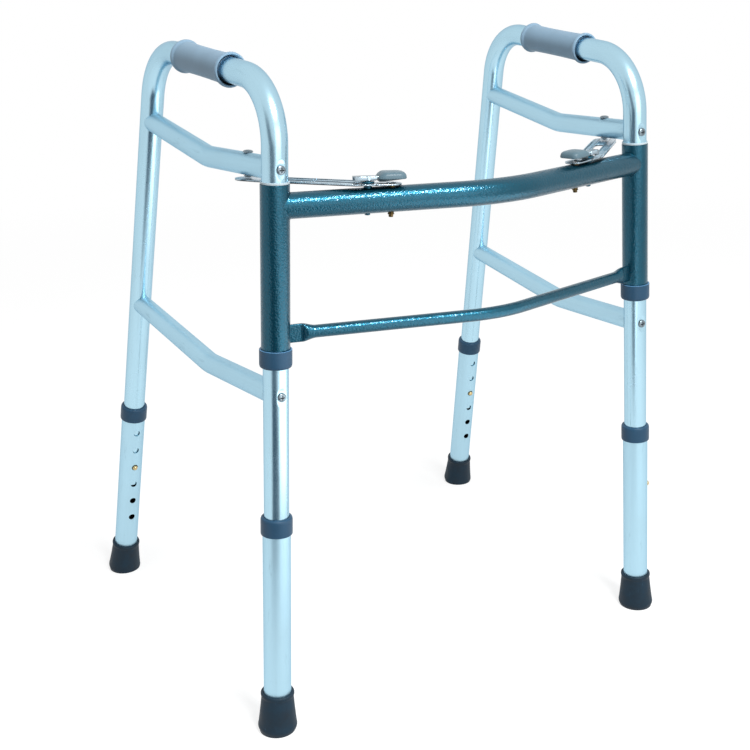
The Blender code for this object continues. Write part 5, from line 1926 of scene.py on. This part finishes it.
def add_flag():
    """A dark flag in front, seen only in reflections, for the dips down the tubes."""
    points, shares = [], []
    for away, height, turn, half, share in FLAG_RUN:
        angle = math.radians(turn)
        on = Vector((-math.sin(angle), -math.cos(angle), 0.0))
        side = Vector((-on.y, on.x, 0.0))
        for i in range(FLAG_COLUMNS + 1):
            across = 2 * i / FLAG_COLUMNS - 1
            points.append(on * away + side * half * across + UPRIGHT * height)
            shares.append(share * min((1.0 - abs(across)) / FLAG_SOFT_EDGE, 1.0))
    wide = FLAG_COLUMNS + 1
    starts = [r * wide + i for r in range(len(FLAG_RUN) - 1) for i in range(FLAG_COLUMNS)]
    faces = [(s, s + 1, s + wide + 1, s + wide) for s in starts]
    flag = placed_object("Flag", store(wire_mesh(points, faces), "solid", shares))
    flag.visible_camera = flag.visible_diffuse = False
    flag.visible_shadow = flag.visible_transmission = False
    material = bpy.data.materials.new("Dark flag")
    stage = StageTree(material)
    share = stage.node("ShaderNodeAttribute", attribute_name="solid").outputs["Fac"]
    dark = stage.result("ShaderNodeEmission", {"Color": (0.05, 0.09, 0.13, 1.0)})
    stage.end(share, stage.result("ShaderNodeBsdfTransparent"), dark)
    flag.data.materials.append(material)


class WALKER_OT_stage(bpy.types.Operator):
    """Set up the camera, the floor and the lights"""

    bl_idname = "walker.stage"
    bl_label = "Stage"

    def execute(self, context):
        stage = context.scene.walker_stage
        context.scene.view_settings.view_transform = "Standard"
        add_camera(stage.camera_place)
        set_world(stage.sky)
        add_floor()
        add_flag()
        centre = (0.0, 0.0, 0.35)
        add_lamp("Key", (0.0, -1.52, 2.08), centre, stage.key_power, wide=0.7, tall=0.22)
        add_lamp("Side", (0.09, -2.06, 0.85), centre, stage.side_power, wide=1.5, tall=1.1)
        leg = (-0.30, -0.26, 0.35)
        card = add_lamp(
            "Card", (0.0, -0.5, 0.28), leg, stage.card_power, wide=0.54, tall=0.34
        )
        card.visible_camera = card.visible_diffuse = False
        return {"FINISHED"}


class WALKER_PT_panel(bpy.types.Panel):
    """The walker's pieces, in the order in which they are made"""

    bl_label = "Folding Walker"
    bl_idname = "WALKER_PT_panel"
    bl_space_type = "VIEW_3D"
    bl_region_type = "UI"
    bl_category = "Walker"

    def draw(self, context):
        for operator in PIECE_OPERATORS:
            self.layout.operator(operator.bl_idname)
        for group in SETTINGS:
            values = getattr(context.scene, group)
            box = self.layout.box()
            for name in values.bl_rna.properties.keys():
                if name not in ("rna_type", "name"):
                    box.prop(values, name)


PIECE_OPERATORS = (
    WALKER_OT_stage, WALKER_OT_side_tubes, WALKER_OT_side_braces, WALKER_OT_grips,
    WALKER_OT_leg_extensions, WALKER_OT_collars, WALKER_OT_rubber_tips,
    WALKER_OT_snap_buttons, WALKER_OT_sleeves, WALKER_OT_crossbars, WALKER_OT_latches,
    WALKER_OT_fasteners,
)
SETTINGS = {
    "walker_sizes": WalkerSizes, "walker_colours": WalkerColours, "walker_stage": WalkerStage,
}
CLASSES = (*SETTINGS.values(), *PIECE_OPERATORS, WALKER_PT_panel)


def register():
    for item in CLASSES:
        bpy.utils.register_class(item)
    for name, group in SETTINGS.items():
        setattr(bpy.types.Scene, name, PointerProperty(type=group))


def unregister():
    for name in SETTINGS:
        delattr(bpy.types.Scene, name)
    for item in reversed(CLASSES):
        bpy.utils.unregister_class(item)


def main():
    register()
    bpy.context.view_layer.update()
    for operator in PIECE_OPERATORS:
        category, name = operator.bl_idname.split(".")
        getattr(getattr(bpy.ops, category), name)()


if __name__ == "__main__":
    main()
